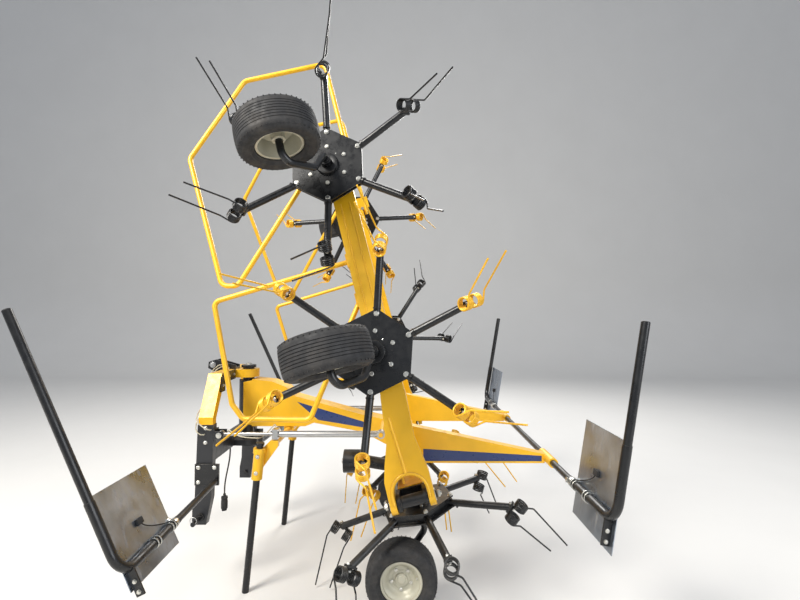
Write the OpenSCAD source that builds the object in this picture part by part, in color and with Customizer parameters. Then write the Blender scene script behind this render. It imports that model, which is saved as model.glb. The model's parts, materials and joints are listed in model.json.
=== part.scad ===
// Six-rotor hay tedder for a three-point hitch, wings folded up for the road and parked on
// its two stands and its two centre wheels. Millimetres. The front is -X, the machine's left
// is -Y, the floor is z = 0 and the origin is on the floor under the middle of the machine.
// Rotors, gearboxes and wing beams are drawn in the tilted frame that the spreading angle
// gives, and the wing pieces once more in a frame that folds about the wing hinge.

/* [Rotors] */
// Distance between the axes of neighbouring rotors
rotor_pitch = 1107; // [1090:1:1120]
// Forward tilt of all rotor planes, the spreading angle
spread_tilt = 14.8; // [13:0.1:15.5]
// Corner radius of the six-sided rotor plate
plate_r = 232; // [215:1:245]
// Height of the rotor hub over the underside of its plate
hub_h = 58; // [50:1:62]
// Radius of the round tine arms
arm_r = 20; // [16:0.5:22]
// Distance of a tine coil from the rotor axis
coil_out = 559; // [530:1:575]
// Height of a tine coil below the underside of the plate
coil_drop = 80; // [60:1:90]
// Radius of the fixed mast that each rotor turns on
mast_r = 30; // [26:0.5:34]

/* [Tines] */
// Diameter of the tine wire
wire_d = 9.5; // [8:0.1:10]
// Mean radius of a tine coil
coil_r = 33; // [29:0.5:36]
// Number of turns in each of a tine's two coils
coil_turns = 6; // [4:1:7]
// Free length between the two coils of a tine
coil_gap = 31; // [26:1:36]
// Lean of the coil axis from the rotor axis
coil_lean = 48; // [42:1:54]
// Length of the first straight stretch of a finger, up to its knee
knee_len = 60; // [50:1:70]
// Reach of the long finger's tip from the coil centre, square to the coil axis
long_reach = 335; // [300:1:340]
// Reach of the short finger's tip from the coil centre, square to the coil axis
short_reach = 288; // [260:1:292]
// Sideways offset of both tips from the arm
tip_side = 104; // [80:1:115]

/* [Wheels] */
// Outer diameter of a tyre
tyre_d = 412; // [395:1:415]
// Width of a tyre
tyre_w = 172; // [150:1:175]
// Diameter of the rim at its outer flange
rim_d = 240; // [225:1:245]
// Distance of a centre wheel's axle in front of its rotor axis
wheel_fwd = 193; // [180:1:205]
// Distance of a centre wheel's middle outboard of its rotor axis
wheel_out = 100; // [90:1:110]
// Depth of a centre wheel's axle below the underside of the rotor plate
wheel_drop = 302.4; // [300:0.1:315]
// Distance of a wing wheel's axle in front of its rotor axis
wing_wheel_fwd = 170; // [165:1:180]
// Distance of a wing wheel's middle outboard of its rotor axis
wing_wheel_out = 0; // [-8:1:8]
// Depth of a wing wheel's axle below the underside of the rotor plate
wing_wheel_drop = 380; // [370:1:390]
// Radius of a wheel axle
axle_r = 15; // [12:0.5:17]

/* [Wings] */
// Angle by which the wings are folded up from their working place
fold = 99.8; // [92:0.1:100]
// Distance of the wing hinge outboard of the centre rotor axis
hinge_out = 323; // [315:1:335]
// Height of the hinge and of the beams over the rotor plates
hinge_up = 190; // [186:1:200]
// Width of a wing beam, front to rear
beam_w = 132; // [124:1:140]
// Depth of the wing beams and of the cross beam
beam_h = 100; // [90:1:104]
// Rearward offset of a wing beam's middle from the rotor axes
beam_back = 35; // [25:1:40]
// Radius of the hinge pins
hinge_pin_r = 20; // [16:0.5:24]
// Radius of the guard tubes
guard_r = 15; // [13:0.5:17]

/* [Fold cylinders] */
// Lever radius from the wing hinge to the rod's eye
lever_r = 200; // [196:1:206]
// Angle of the lever above the beam, measured at the hinge
lever_angle = 55; // [52:0.5:57]
// Distance of the cylinder's base pin inboard of the wing hinge
base_in = 700; // [680:1:710]
// Height of the cylinder's base pin over the wing hinge
base_up = 130; // [125:1:140]
// Radius of the cylinder's barrel
barrel_r = 31; // [26:0.5:34]
// Radius of the cylinder's rod
rod_r = 16; // [12:0.5:18]

/* [Hitch] */
// Distance of each lower link point from the middle
link_half = 410; // [400:1:420]
// Height of the lower link pins
link_z = 443; // [430:1:460]
// Radius of the lower link pins
link_pin_r = 14.2; // [11:0.1:18]
// Radius of the top link bore
top_bore_r = 12.9; // [9.5:0.1:16]
// Height of the top link bore
top_z = 1350; // [1340:1:1360]
// Place of the headstock's upright pivot behind the front of the machine
pivot_x = -1050; // [-1060:1:-1040]
// Radius of the pivot post
pivot_r = 40; // [34:0.5:44]
// Radius of the power take-off stub
pto_r = 17.4; // [15:0.1:20]
// Height of the power take-off stub
pto_z = 655; // [640:1:670]

/* [Stands and lights] */
// Radius of the stand legs
stand_r = 21; // [18:0.5:23]
// Distance of each stand leg from the middle
stand_half = 452; // [448:1:470]
// Radius of the tubes that carry the warning boards
bar_r = 18; // [16:0.5:22]
// Side of the square warning boards
board = 423; // [400:1:430]
// Height of the rear boards, with the strip below for their lamps
rear_board_h = 470; // [450:1:490]
// Thickness of the warning boards
board_t = 3; // [2:0.5:5]
// Distance of the front board posts from the middle
post_half = 1460; // [1440:1:1480]
// Distance of the rear board posts from the middle
rear_post_half = 1420; // [1400:1:1440]

/* [Hidden] */
$fn = 48;
// Running clearance between round faces, and air between pieces that move past each other
fit = 0.3;
air = 5;
// Angles of the arms from straight outboard, the sense in which the fingers stand, colour.
// Rows: centre, middle and outer rotor of a side. The right side's arms stand 30 degrees on.
ROTOR = [[11.6, 1], [18.4, -1], [11.6, 1]];
LEFT_COLOURS = ["#26282b", "#e8b21c", "#26282b"];
RIGHT_COLOURS = ["#e8b21c", "#26282b", "#e8b21c"];
STATIONS = ["centre", "middle", "outer"];
SIDES = [[-1, "left"], [1, "right"]];
YELLOW = "#f0b31a";
BLACK = "#202225";
GREY = "#4a4e53";
SILVER = "#b9bcc0";
CREAM = "#d8d2be";

hinge_y = rotor_pitch / 2 + hinge_out;
tilt_x = 169;
tilt_z = tyre_d / 2 + wheel_fwd * sin(spread_tilt) + wheel_drop * cos(spread_tilt);
beam_top = hinge_up + beam_h / 2;
plate_t = 8;
hub_top = hub_h + 16;
wire_r = wire_d / 2;
coil_pitch = wire_d - 0.5;
coil_len = (coil_turns - 1) * coil_pitch + wire_d;
coil_end = coil_gap / 2 + coil_len;
seat_t = 12;
seat_d = coil_r + wire_r + fit;
knee_turn = 40;
// Fingers of a tine: end of the coil pair, reach of the tip, place of the tip along the axis
FINGERS = [[1, long_reach, -23], [-1, short_reach, -111]];
ear_t = 34;
mouth_r = 86;
wing_len = rotor_pitch - hinge_out + rotor_pitch + 75;
cross_w = 140;
lever_x = -60;
lever_t = 12;
eye_t = 40;
eye_gap = eye_t / 2 + air;
lever_eye = [lever_r * cos(lever_angle), lever_r * sin(lever_angle)];
folded_eye = [lever_r * cos(lever_angle + fold), lever_r * sin(lever_angle + fold)];
cyl_run = folded_eye - [-base_in, base_up];
cyl_len = norm(cyl_run);
cyl_angle = atan2(cyl_run.y, cyl_run.x);
drive_x = -200;
strut_y = link_half - 10;
strut_z = 950;
strut_front = -1085;
strut_swing = 14;
strut_back = -70;
strut_block = -737;
strut_r = 20;
strut_rod_r = 11;
leg_x = -1170;
leg_w = 100;
leg_t = 50;
leg_top = 1015;
foot_x = -902;
stand_top = 905;
stand_lean = 5.2;
// Where the lines of the posts meet their bar: place along, height, distance from the middle
rear_bar = [930, 855, rear_post_half];
rear_lean = 9.6;
rear_rise = 817;
front_bar = [-1053, 661, post_half];
front_lean = 24.8;
front_rise = 1060;
// Start of the front bars on the headstock, and how far they stand off square to the posts
front_start = [leg_x + 70, front_bar.y + 7, link_half + leg_t / 2 + 12];
front_turn = atan(((front_bar.x - front_start.x) * cos(front_lean)
    + (front_bar.y - front_start.y) * sin(front_lean)) / (front_bar[2] - front_start[2]));
bend_r = 90;
// Boards: distance of the inner edge from the post, of the lower edge below its foot, and height
FRONT_BOARD = [466, 87, board];
REAR_BOARD = [454, 144, rear_board_h];
front_top = [front_bar.x - front_rise * tan(front_lean), front_bar.y + front_rise];
rear_top = [rear_bar.x + rear_rise * tan(rear_lean), rear_bar.y + rear_rise];
// Shift of the frame below, whose x is 0 just behind the centre wheels, to the middle
origin_x = -(front_top.x + rear_top.x - bar_r * cos(front_lean) + bar_r * cos(rear_lean)) / 2;
beam_y = 536;
// Outlines of the two guards of a wing, as distance rearward of the rotor axes and outboard
// of the hinge
OUTER_GUARD = [[122, 1900], [125, 2700], [-407, 2727], [-848, 2279], [-791, 1412], [-698, 1387],
    [-90, 2018]];
INNER_GUARD = [[-20, 1357], [-854, 1329], [-852, 727], [-806, 632], [-444, 534], [-321, 703], [-20, 1114]];
// Points of the cable from under the headstock down to its plug
function cable_back(i) = 18 * (1 - cos(12 * max(0, min(15, i - 1))));
CABLE = [for (i = [0 : 17]) [-1140 - cable_back(i), -100, 780 - 318 * i / 17]];
cable_r = 5;
// Points of the two ropes from the top of the headstock to its left leg
ROPE_1 = [[-1195, -58, 1318], [-1195, -58, 1334], [-1210, -66, 1352], [-1236, -82, 1350],
    [-1261, -103, 1326], [-1276, -124, 1297], [-1281, -146, 1267], [-1278, -168, 1237],
    [-1274, -192, 1208], [-1268, -219, 1182], [-1260, -247, 1159], [-1251, -277, 1138],
    [-1245, -308, 1117], [-1242, -341, 1101], [-1240, -376, 1086], [-1236, -409, 1069],
    [-1228, -439, 1049], [-1205, -454, 1025], [-1174, -460, 1005], [-1148, -460, 992], [-1135, -450, 985],
    [-1135, -435, 985]];
ROPE_2 = [[-1172, -62, 1318], [-1172, -62, 1330], [-1186, -76, 1342], [-1212, -104, 1340],
    [-1236, -128, 1322], [-1249, -146, 1292], [-1255, -166, 1260], [-1254, -188, 1226],
    [-1249, -212, 1192], [-1244, -242, 1160], [-1240, -278, 1128], [-1237, -312, 1101],
    [-1236, -341, 1079], [-1236, -366, 1058], [-1237, -392, 1038], [-1236, -420, 1018], [-1228, -446, 996],
    [-1212, -460, 974], [-1190, -462, 960], [-1175, -450, 956], [-1175, -435, 956]];
// Points of the rope from the left strut's rod to the block at the end of the strut's tube
ROPE_3 = [[-1040, -400, 961.3], [-1040, -400, 973], [-1024, -414, 974], [-1008, -422, 967],
    [-993, -426, 959], [-976, -428, 951], [-960, -429, 945], [-943, -429, 940], [-925, -427, 936],
    [-908, -424, 933], [-890, -420, 931], [-872, -416, 929], [-856, -410, 926], [-842, -398, 924],
    [-830, -384, 926], [-820, -370, 932], [-812, -361, 941], [-802, -356, 952], [-791, -354, 964],
    [-780, -354, 976], [-769, -356, 988], [-759, -364, 998], [-749, -378, 1004], [-742, -392, 1001],
    [-738, -402, 996]];
rope_r = 4;

// Frames

module machine() {
    translate([origin_x, 0, 0]) children();
}

module tilted() {
    machine() translate([tilt_x, 0, tilt_z]) rotate([0, -spread_tilt, 0]) children();
}

module sided(side) {
    mirror([0, side < 0 ? 1 : 0, 0]) children();
}

module wing_frame(side) {
    tilted() sided(side) translate([0, hinge_y, hinge_up]) rotate([fold, 0, 0]) children();
}

// Frame of a rotor: its axis is z and the underside of its plate is z = 0
module station(side, k) {
    if (k == 0) tilted() sided(side) translate([0, rotor_pitch / 2, 0]) children();
    else wing_frame(side) translate([0, k * rotor_pitch - hinge_out, -hinge_up]) children();
}

// Place in the upright frame of a point of the tilted one, as [x, z]
function tilt_point(x, z) = [tilt_x + x * cos(spread_tilt) - z * sin(spread_tilt),
    tilt_z + x * sin(spread_tilt) + z * cos(spread_tilt)];

// Bars and bent tubes

function unit(v) = v / norm(v);
function flat(p, z) = [p.x, p.y, z];
function turn(p, i) = acos(unit(p[i] - p[i - 1]) * unit(p[i + 1] - p[i]));
function cut(p, i, bend) = (i == 0 || i == len(p) - 1) ? 0 : bend * tan(turn(p, i) / 2);

module placed(o, ex, ey, ez) {
    multmatrix([[ex.x, ey.x, ez.x, o.x], [ex.y, ey.y, ez.y, o.y], [ex.z, ey.z, ez.z, o.z], [0, 0, 0, 1]])
        children();
}

module along(a, b) {
    w = unit(b - a);
    s = abs(w.z) > 0.999 ? [1, 0, 0] : unit(cross([0, 0, 1], w));
    v = unit(cross(w, s));
    placed(a, cross(v, w), v, w) children();
}

module bar(a, b, r) {
    along(a, b) cylinder(h = norm(b - a), r = r);
}

module elbow(p, i, r, bend) {
    u = unit(p[i - 1] - p[i]);
    v = unit(p[i + 1] - p[i]);
    c = p[i] + unit(u + v) * bend / cos(turn(p, i) / 2);
    ex = unit(p[i] + u * cut(p, i, bend) - c);
    ez = unit(cross(ex, p[i] + v * cut(p, i, bend) - c));
    placed(c, ex, cross(ez, ex), ez) rotate_extrude(angle = turn(p, i)) translate([bend, 0]) circle(r = r);
}

// Round tube along a path of straight stretches with bends of one radius. The stretches reach
// a lap into the bends, which are a hair thicker.
module bent_tube(p, r, bend, lip = 0.3) {
    lap = 2;
    for (i = [1 : len(p) - 1]) {
        w = unit(p[i] - p[i - 1]);
        bar(p[i - 1] + w * max(0, cut(p, i - 1, bend) - lap), p[i] - w * max(0, cut(p, i, bend) - lap), r);
    }
    for (i = [1 : len(p) - 2]) elbow(p, i, r + lip, bend);
}

// Outline in x and z, made into a plate from y = at - t / 2 to at + t / 2
module side_plate(at, t) {
    translate([0, at + t / 2, 0]) rotate([90, 0, 0]) linear_extrude(t) children();
}

// Cylinder along y
module y_rod(x, y, z, len, r) {
    translate([x, y + len / 2, z]) rotate([90, 0, 0]) cylinder(h = len, r = r);
}

// Cylinder along x
module x_rod(x, y, z, len, r) {
    translate([x - len / 2, y, z]) rotate([0, 90, 0]) cylinder(h = len, r = r);
}

// Rotors

// Place in the rotor frame of a point of the coil frame, for an arm along x
function coil_point(p) = [coil_out + p.x * cos(coil_lean) + p.z * sin(coil_lean), p.y,
    -coil_drop - p.x * sin(coil_lean) + p.z * cos(coil_lean)];

module coil_frame() {
    translate([coil_out, 0, -coil_drop]) rotate([0, coil_lean, 0]) children();
}

module arm() {
    seat = coil_point([-seat_d - seat_t / 2, 0, 0]);
    difference() {
        bar([plate_r * 0.62, 0, hub_h / 2], seat, arm_r);
        coil_frame() translate([-seat_d - 1, -60, -60]) cube(120);
    }
    coil_frame() translate([-seat_d - seat_t, -arm_r, -30]) cube([seat_t, 2 * arm_r, 60]);
}

module rotor_hub(k) {
    difference() {
        union() {
            cylinder(h = plate_t, r = plate_r, $fn = 6);
            cylinder(h = hub_h - 1, r = plate_r * 0.86, $fn = 6);
            translate([0, 0, hub_h - plate_t]) cylinder(h = plate_t, r = plate_r - 10, $fn = 6);
            cylinder(h = hub_top, r = 78);
            for (i = [0 : 5]) rotate([0, 0, 60 * i]) arm();
        }
        translate([0, 0, -1]) cylinder(h = hub_top + 2, r = mast_r + fit);
    }
}

module coil() {
    rotate_extrude() translate([coil_r - wire_r, 0]) square([wire_d, coil_len]);
}

module finger(row, hand) {
    z = row[0] * (coil_end - wire_r);
    start = [coil_r * cos(knee_turn), hand * coil_r * sin(knee_turn), z];
    tip = [row[1], -hand * tip_side, row[2]];
    knee = start + knee_len * [sin(knee_turn), -hand * cos(knee_turn), 0];
    bar(start, knee, wire_r - 0.2);
    bar(knee, tip, wire_r - 0.2);
    translate(knee) sphere(r = wire_r);
}

module tine(hand) {
    translate([0, 0, coil_gap / 2]) coil();
    translate([0, 0, -coil_end]) coil();
    bar([-coil_r, 0, -coil_gap / 2 - wire_r], [-coil_r, 0, coil_gap / 2 + wire_r], wire_r - 0.2);
    for (row = FINGERS) finger(row, hand);
}

function arm_angle(side, k) = 90 - ROTOR[k][0] - (side > 0 ? 30 : 0);

module rotor(side, k) {
    color(BLACK) station(side, k) rotate([0, 0, arm_angle(side, k)]) rotor_hub(k);
}

module tines(side, k) {
    color(side < 0 ? LEFT_COLOURS[k] : RIGHT_COLOURS[k]) station(side, k)
        for (i = [0 : 5]) rotate([0, 0, arm_angle(side, k) + 60 * i]) coil_frame() tine(ROTOR[k][1]);
}

// Wheels

// Middle of a wheel in the frame of its rotor
function wheel_at(k) = k == 0 ? [-wheel_fwd, wheel_out, -wheel_drop]
    : [-wing_wheel_fwd, wing_wheel_out, -wing_wheel_drop];

// Frame of a wheel: its axle is z, outboard is +z and z = 0 is the middle of the tyre
module wheel_frame(side, k) {
    station(side, k) translate(wheel_at(k)) rotate([-90, 0, 0]) children();
}

module tyre_outline() {
    shoulder = 26;
    half = tyre_w / 2 - shoulder;
    difference() {
        union() {
            translate([rim_d / 2, -tyre_w * 0.4]) square([tyre_d / 2 - rim_d / 2 - shoulder, tyre_w * 0.8]);
            translate([tyre_d / 2 - 2 * shoulder - 12, -tyre_w / 2]) square([shoulder + 12, tyre_w]);
            translate([tyre_d / 2 - shoulder - 1, -half]) square([shoulder + 1, 2 * half]);
            for (s = [-1, 1]) translate([tyre_d / 2 - shoulder, s * half]) circle(r = shoulder);
        }
        for (s = [-1.5 : 1 : 1.5]) translate([tyre_d / 2 - 7, s * 28 - 2.5]) square([10, 5]);
    }
}

module tyre(side, k) {
    color(BLACK) wheel_frame(side, k) rotate_extrude($fn = 96) tyre_outline();
}

module rim(side, k) {
    boss = 34;
    color("#c9c7b4") wheel_frame(side, k) difference() {
        union() {
            rotate_extrude($fn = 96) {
                translate([rim_d / 2 - 14 - fit, -tyre_w * 0.36]) square([14, tyre_w * 0.72]);
                translate([boss - 2, 6]) square([48, 7]);
                polygon([[boss + 40, 6], [rim_d / 2 - 12, 40], [rim_d / 2 - 12, 48], [boss + 40, 13]]);
            }
            translate([0, 0, -boss]) cylinder(h = 2 * boss, r = boss);
        }
        translate([0, 0, -boss - 1]) cylinder(h = 2 * boss - 8, r = axle_r + fit);
        translate([60, 52, -30]) cylinder(h = 90, r = 6);
    }
}

// Gearbox over a rotor, the mast that the rotor turns on, and the stalk down to the wheel
module gearbox(k) {
    box_low = hub_top + air;
    at = wheel_at(k);
    turn_in = at - [0, k == 0 ? 145 : 150, 0];
    hub_side = at - [0, 34 + air, 0];
    knees = k == 0 ? [[0, 0, -120]] : [[0, 0, -105], [-50, -125, -215]];
    translate([0, 0, box_low]) cylinder(h = hinge_up - beam_h / 2 - box_low, r = 76);
    translate([0, 0, hinge_up - beam_h / 2 - 14]) cylinder(h = 14, r = 92);
    for (a = [45 : 90 : 315]) rotate([0, 0, a]) translate([60, -8, box_low + 6]) cube([30, 16, 40]);
    translate([0, 0, -60]) cylinder(h = box_low + 61, r = mast_r);
    bent_tube(concat([[0, 0, -50]], knees, [turn_in, hub_side]), 19, 58);
    y_rod(at.x, at.y - 24, at.z, 80, axle_r);
}

module wing_gearboxes(side) {
    color(BLACK) for (k = [1, 2]) station(side, k) gearbox(k);
}

module centre_gearboxes() {
    color(BLACK) {
        for (s = SIDES) station(s[0], 0) gearbox(0);
        tilted() for (s = SIDES) sided(s[0]) translate([0, hinge_y, hinge_up]) hinge_bracket();
    }
}

// Wings

module root_outline() {
    difference() {
        polygon([[-mouth_r - ear_t, 0], [-mouth_r - ear_t, 125], [-100, 200], [-62, 310],
            [beam_back - beam_w / 2 - 2, 560], [beam_back + beam_w / 2 + 2, 560], [90, 310], [108, 200],
            [mouth_r + ear_t, 125], [mouth_r + ear_t, 0]]);
        translate([-mouth_r, -1]) square([2 * mouth_r, 46]);
        translate([0, 45]) circle(r = mouth_r);
    }
}

module root_beads() {
    bead = 8;
    translate([0, 45, -beam_h / 2]) rotate_extrude(angle = 180) translate([mouth_r + 10, 0]) circle(r = bead);
    for (s = [-1, 1]) bar([s * (mouth_r + 10), 5, -beam_h / 2], [s * (mouth_r + 10), 45, -beam_h / 2], bead);
    bar([0, 145, -beam_h / 2], [-18, 440, -beam_h / 2], bead);
}

module lever_plate() {
    translate([-lever_t / 2, 0, 0]) rotate([90, 0, 90]) linear_extrude(lever_t) polygon([[78, beam_h / 2 - 4],
        [195, beam_h / 2 - 4], [lever_eye.x + 30, lever_eye.y - 6], [lever_eye.x - 8, lever_eye.y + 8]]);
    x_rod(0, lever_eye.x, lever_eye.y, lever_t, 25);
}

module wing_beam(side) {
    color(YELLOW) wing_frame(side) difference() {
        union() {
            translate([0, 0, -beam_h / 2]) linear_extrude(beam_h) root_outline();
            translate([beam_back - beam_w / 2, 540, -beam_h / 2]) cube([beam_w, wing_len - 540, beam_h]);
            for (s = [-1, 1]) x_rod(s * (mouth_r + ear_t / 2), 0, 0, ear_t, beam_h / 2);
            translate([-130, wing_len - 10, -8]) cube([290, 90, 16]);
            root_beads();
            for (s = [-1, 1]) translate([lever_x + s * (eye_gap + lever_t / 2), 0, 0]) lever_plate();
        }
        x_rod(0, 0, 0, 400, hinge_pin_r + fit);
        x_rod(lever_x, lever_eye.x, lever_eye.y, 200, 12);
    }
}

module wing_guards(side) {
    front = beam_back - beam_w / 2;
    color(YELLOW) wing_frame(side) difference() {
        union() {
            bent_tube([for (p = OUTER_GUARD) flat(p, 0)], guard_r, 55);
            bent_tube([for (p = INNER_GUARD) flat(p, 0)], guard_r, 38);
            translate([front - 10, INNER_GUARD[0].y - 40, -32]) cube([10 - fit, 80, 64]);
            translate([front - 10, INNER_GUARD[6].y - 40, -32]) cube([10 - fit, 80, 64]);
        }
        translate([front - fit, 500, -60]) cube([beam_w + 2 * fit, wing_len - 500 + fit, 120]);
        translate([-130 - fit, wing_len - 10 - fit, -8 - fit])
            cube([290 + 2 * fit, 90 + 2 * fit, 16 + 2 * fit]);
    }
}

// Fold cylinders, drawn with the base pin at the origin and the rod along y

module cylinder_frame(side) {
    tilted() sided(side) translate([lever_x, hinge_y - base_in, hinge_up + base_up]) rotate([cyl_angle, 0, 0])
        children();
}

module fold_barrel(side) {
    color(BLACK) cylinder_frame(side) difference() {
        union() {
            x_rod(0, 0, 0, eye_t, 26);
            y_rod(0, 35, 0, 70, 17);
            y_rod(0, 65 + (cyl_len - 135) / 2, 0, cyl_len - 135, barrel_r);
            y_rod(0, cyl_len - 85, 0, 30, barrel_r + 4);
        }
        x_rod(0, 0, 0, 60, 12 + fit);
        y_rod(0, 85 + cyl_len / 2, 0, cyl_len, rod_r + fit);
    }
}

module fold_rod(side) {
    color(SILVER) cylinder_frame(side) difference() {
        union() {
            y_rod(0, 95 + (cyl_len - 115) / 2, 0, cyl_len - 115, rod_r);
            x_rod(0, cyl_len, 0, eye_t, 26);
        }
        x_rod(0, cyl_len, 0, 60, 12);
    }
}

// Centre frame

module hinge_bracket() {
    half = mouth_r - air;
    translate([-half, -75, -45]) cube([2 * half, 14, 90]);
    for (s = [-1, 1]) translate([s * (half - 10), 0, 0]) {
        translate([-10, -75, -45]) cube([20, 75, 90]);
        x_rod(0, 0, 0, 20, 45);
    }
    x_rod(0, 0, 0, 2 * half, 32);
    for (s = [-1, 1]) x_rod(s * (mouth_r + ear_t / 2), 0, 0, ear_t + 12 + 2 * air, hinge_pin_r);
}

module base_bracket() {
    for (s = [-1, 1]) translate([s * (eye_gap + 6), 0, 0]) {
        translate([-6, -38, beam_h / 2 - base_up]) cube([12, 76, base_up - beam_h / 2]);
        x_rod(0, 0, 0, 12, 26);
    }
    x_rod(0, 0, 0, 2 * eye_gap + 24, 12);
}

module centre_beam() {
    color(YELLOW) tilted() {
        translate([-cross_w / 2, -hinge_y + 75, hinge_up - beam_h / 2])
            cube([cross_w, 2 * hinge_y - 150, beam_h]);
        for (s = SIDES) sided(s[0]) {
            translate([lever_x, hinge_y - base_in, hinge_up + base_up]) base_bracket();
            translate([-cross_w / 2 - 25, hinge_y - base_in - 45, beam_top - 12]) cube([60, 90, 12]);
        }
    }
}

module hitch_outline() {
    front_foot = tilt_point(-cross_w / 2, beam_top);
    back_foot = tilt_point(cross_w / 2 - 40, beam_top);
    polygon([[pivot_x + 50, 920], [-620, 920], [-560, 945], [-210, 880], [-60, 800], front_foot, back_foot,
        [back_foot.x, 930], [-210, 1000], [-690, 1130], [-760, 1195], [-860, 1235], [pivot_x + 50, 1250]]);
}

// Cheek beside the pivot post
module hitch_cheek() {
    polygon([[pivot_x - 12, 940], [pivot_x + 60, 925], [pivot_x + 60, 1244], [pivot_x - 12, 1230]]);
}

module hitch_beam() {
    color(YELLOW) machine() {
        for (s = [-1, 1]) side_plate(s * 70, 10) hitch_cheek();
        side_plate(0, 150) hitch_outline();
        y_rod(strut_back, 0, strut_z, 2 * strut_y + 60, 14);
    }
}

module pivot_post() {
    color(BLACK) machine() {
        translate([pivot_x, 0, 770]) cylinder(h = 560, r = pivot_r);
        difference() {
            translate([pivot_x, 0, 920]) cylinder(h = 320, r = 64);
            translate([pivot_x + 50 - fit, -100, 900]) cube([100, 200, 400]);
        }
        translate([pivot_x, 0, 1329]) cylinder(h = 16, r = 52);
    }
}

module driveline() {
    front = drive_x;
    gear = tilt_point(-90, 90);
    color(BLACK) {
        machine() {
            bar([front, 0, pto_z], [gear.x, 0, gear.y], 42);
            x_rod(front - 25, 0, pto_z, 50, 62);
            difference() {
                x_rod(front - 90, 0, pto_z, 130, 80);
                x_rod(front - 110, 0, pto_z, 130, 76);
            }
        }
        tilted() {
            translate([-105, -95, 45]) cube([190, 190, hinge_up - beam_h / 2 - 45]);
            translate([0, 0, 25]) cylinder(h = 30, r = 60);
            for (s = [-1, 1]) y_rod(0, s * 281, 103, 392, 20);
        }
    }
}

module pto_stub() {
    color(SILVER) machine() x_rod(drive_x - 110, 0, pto_z, 120 - 2 * fit, pto_r);
}

module rear_beam_outline() {
    foot = tilt_point(-10, beam_top);
    heel = tilt_point(cross_w / 2, beam_top);
    end = rear_bar.x - bar_r - 2;
    polygon([foot, heel, [heel.x + 6, rear_bar.y - 30], [end, rear_bar.y - 30], [end, rear_bar.y + 22],
        [foot.x, 1048]]);
}

// Sleeve at the end of a rear beam, round the bar of the rear boards
module rear_sleeve() {
    difference() {
        y_rod(rear_bar.x, beam_y + 30, rear_bar.y, 200, bar_r + 10);
        y_rod(rear_bar.x, beam_y + 30, rear_bar.y, 220, bar_r + fit);
    }
}

module rear_beams() {
    color(YELLOW) machine() for (s = SIDES) {
        side_plate(s[0] * beam_y, 70) rear_beam_outline();
        sided(s[0]) rear_sleeve();
    }
}

// Lights and boards

// Top of a board post, from its foot, its lean and its rise
function post_top(foot, lean, rise) = [foot.x + lean * rise, foot.z + rise];

module rear_light_bar() {
    color(BLACK) {
        machine() bent_tube([for (s = [-1, 1], bar = s < 0 ? [rear_top, rear_bar] : [rear_bar, rear_top])
            [bar.x, s * rear_post_half, bar.y]], bar_r, bend_r);
        for (s = SIDES) board_frame(s[0], rear_bar, rear_lean) post_tab();
    }
}

// Frame of a board post: its origin is where the post's line meets the bar and z runs up the post
module board_frame(side, bar, lean) {
    machine() sided(side) translate([bar.x, bar[2], bar.y]) rotate([0, lean, 0]) children();
}

// Lug that stands down from the bend
module post_tab() {
    translate([-bar_r, -64, -118]) cube([2 * bar_r, 8, 118]);
}

// Board flat against its post and bar, behind them where face is 1 and in front where it is -1
module board_on(face, place) {
    translate([face * (bar_r + 2 * fit) - (face < 0 ? board_t : 0), -place[0], -place[1]])
        cube([board_t, board, place[2]]);
}

module rear_boards() {
    color(SILVER) for (s = SIDES) board_frame(s[0], rear_bar, rear_lean) board_on(1, REAR_BOARD);
}

module front_light_bars() {
    color(BLACK) for (s = SIDES) {
        machine() sided(s[0]) {
            bent_tube([[front_start.x, front_start[2], front_start.y],
                [front_bar.x, post_half, front_bar.y], [front_top.x, post_half, front_top.y]], bar_r, bend_r);
            translate([leg_x - 58, link_half + leg_t / 2 + fit, front_bar.y - 16]) cube([150, 14, 130]);
        }
        board_frame(s[0], front_bar, -front_lean) post_tab();
    }
}

module front_boards() {
    color(SILVER) for (s = SIDES) board_frame(s[0], front_bar, -front_lean)
        rotate([0, 0, -front_turn]) board_on(-1, FRONT_BOARD);
}

// Stands

module stand_axis() {
    machine() translate([foot_x, 0, 0]) rotate([0, stand_lean, 0]) children();
}

module stand_holders() {
    color(YELLOW) {
        for (s = SIDES) sided(s[0]) {
            stand_axis() translate([0, stand_half, 0]) difference() {
                union() {
                    translate([0, 0, 690]) cylinder(h = 190, r = 33);
                    translate([0, 0, 850]) cylinder(h = 30, r = 38);
                }
                translate([0, 0, 680]) cylinder(h = 210, r = stand_r + fit);
            }
            machine() difference() {
                side_plate(stand_half - 36, 30) polygon([[-830, 745], [-812, 745], [-715, 880], [-715, 915],
                    [-765, 915], [-830, 850]]);
                translate([foot_x, stand_half, 0]) rotate([0, stand_lean, 0]) cylinder(h = 1000, r = 33);
            }
        }
        machine() {
            y_rod(-740, 0, 895, 2 * stand_half - 60, 20);
            translate([-775, -60, 890]) cube([70, 120, 30]);
        }
    }
}

module stand_leg(side) {
    color(BLACK) sided(side) stand_axis() translate([0, stand_half, 0]) {
        translate([0, 0, 2.5]) cylinder(h = stand_top, r = stand_r);
        translate([0, 0, stand_top - 6]) cylinder(h = 14, r = stand_r + 5);
    }
}

// Headstock

// Plate behind a leg with the two ears between which the strut's eye swings
module strut_lug() {
    half = 12 + strut_swing;
    translate([leg_x + 47, strut_y - half - 8, strut_z - 35]) cube([9, 2 * half + 16, 70]);
    for (e = [-1, 1]) difference() {
        translate([leg_x + 50, strut_y + e * (half + 4) - 4, strut_z - 24]) cube([60, 8, 48]);
        y_rod(strut_front, strut_y, strut_z, 200, 12);
    }
}

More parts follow.
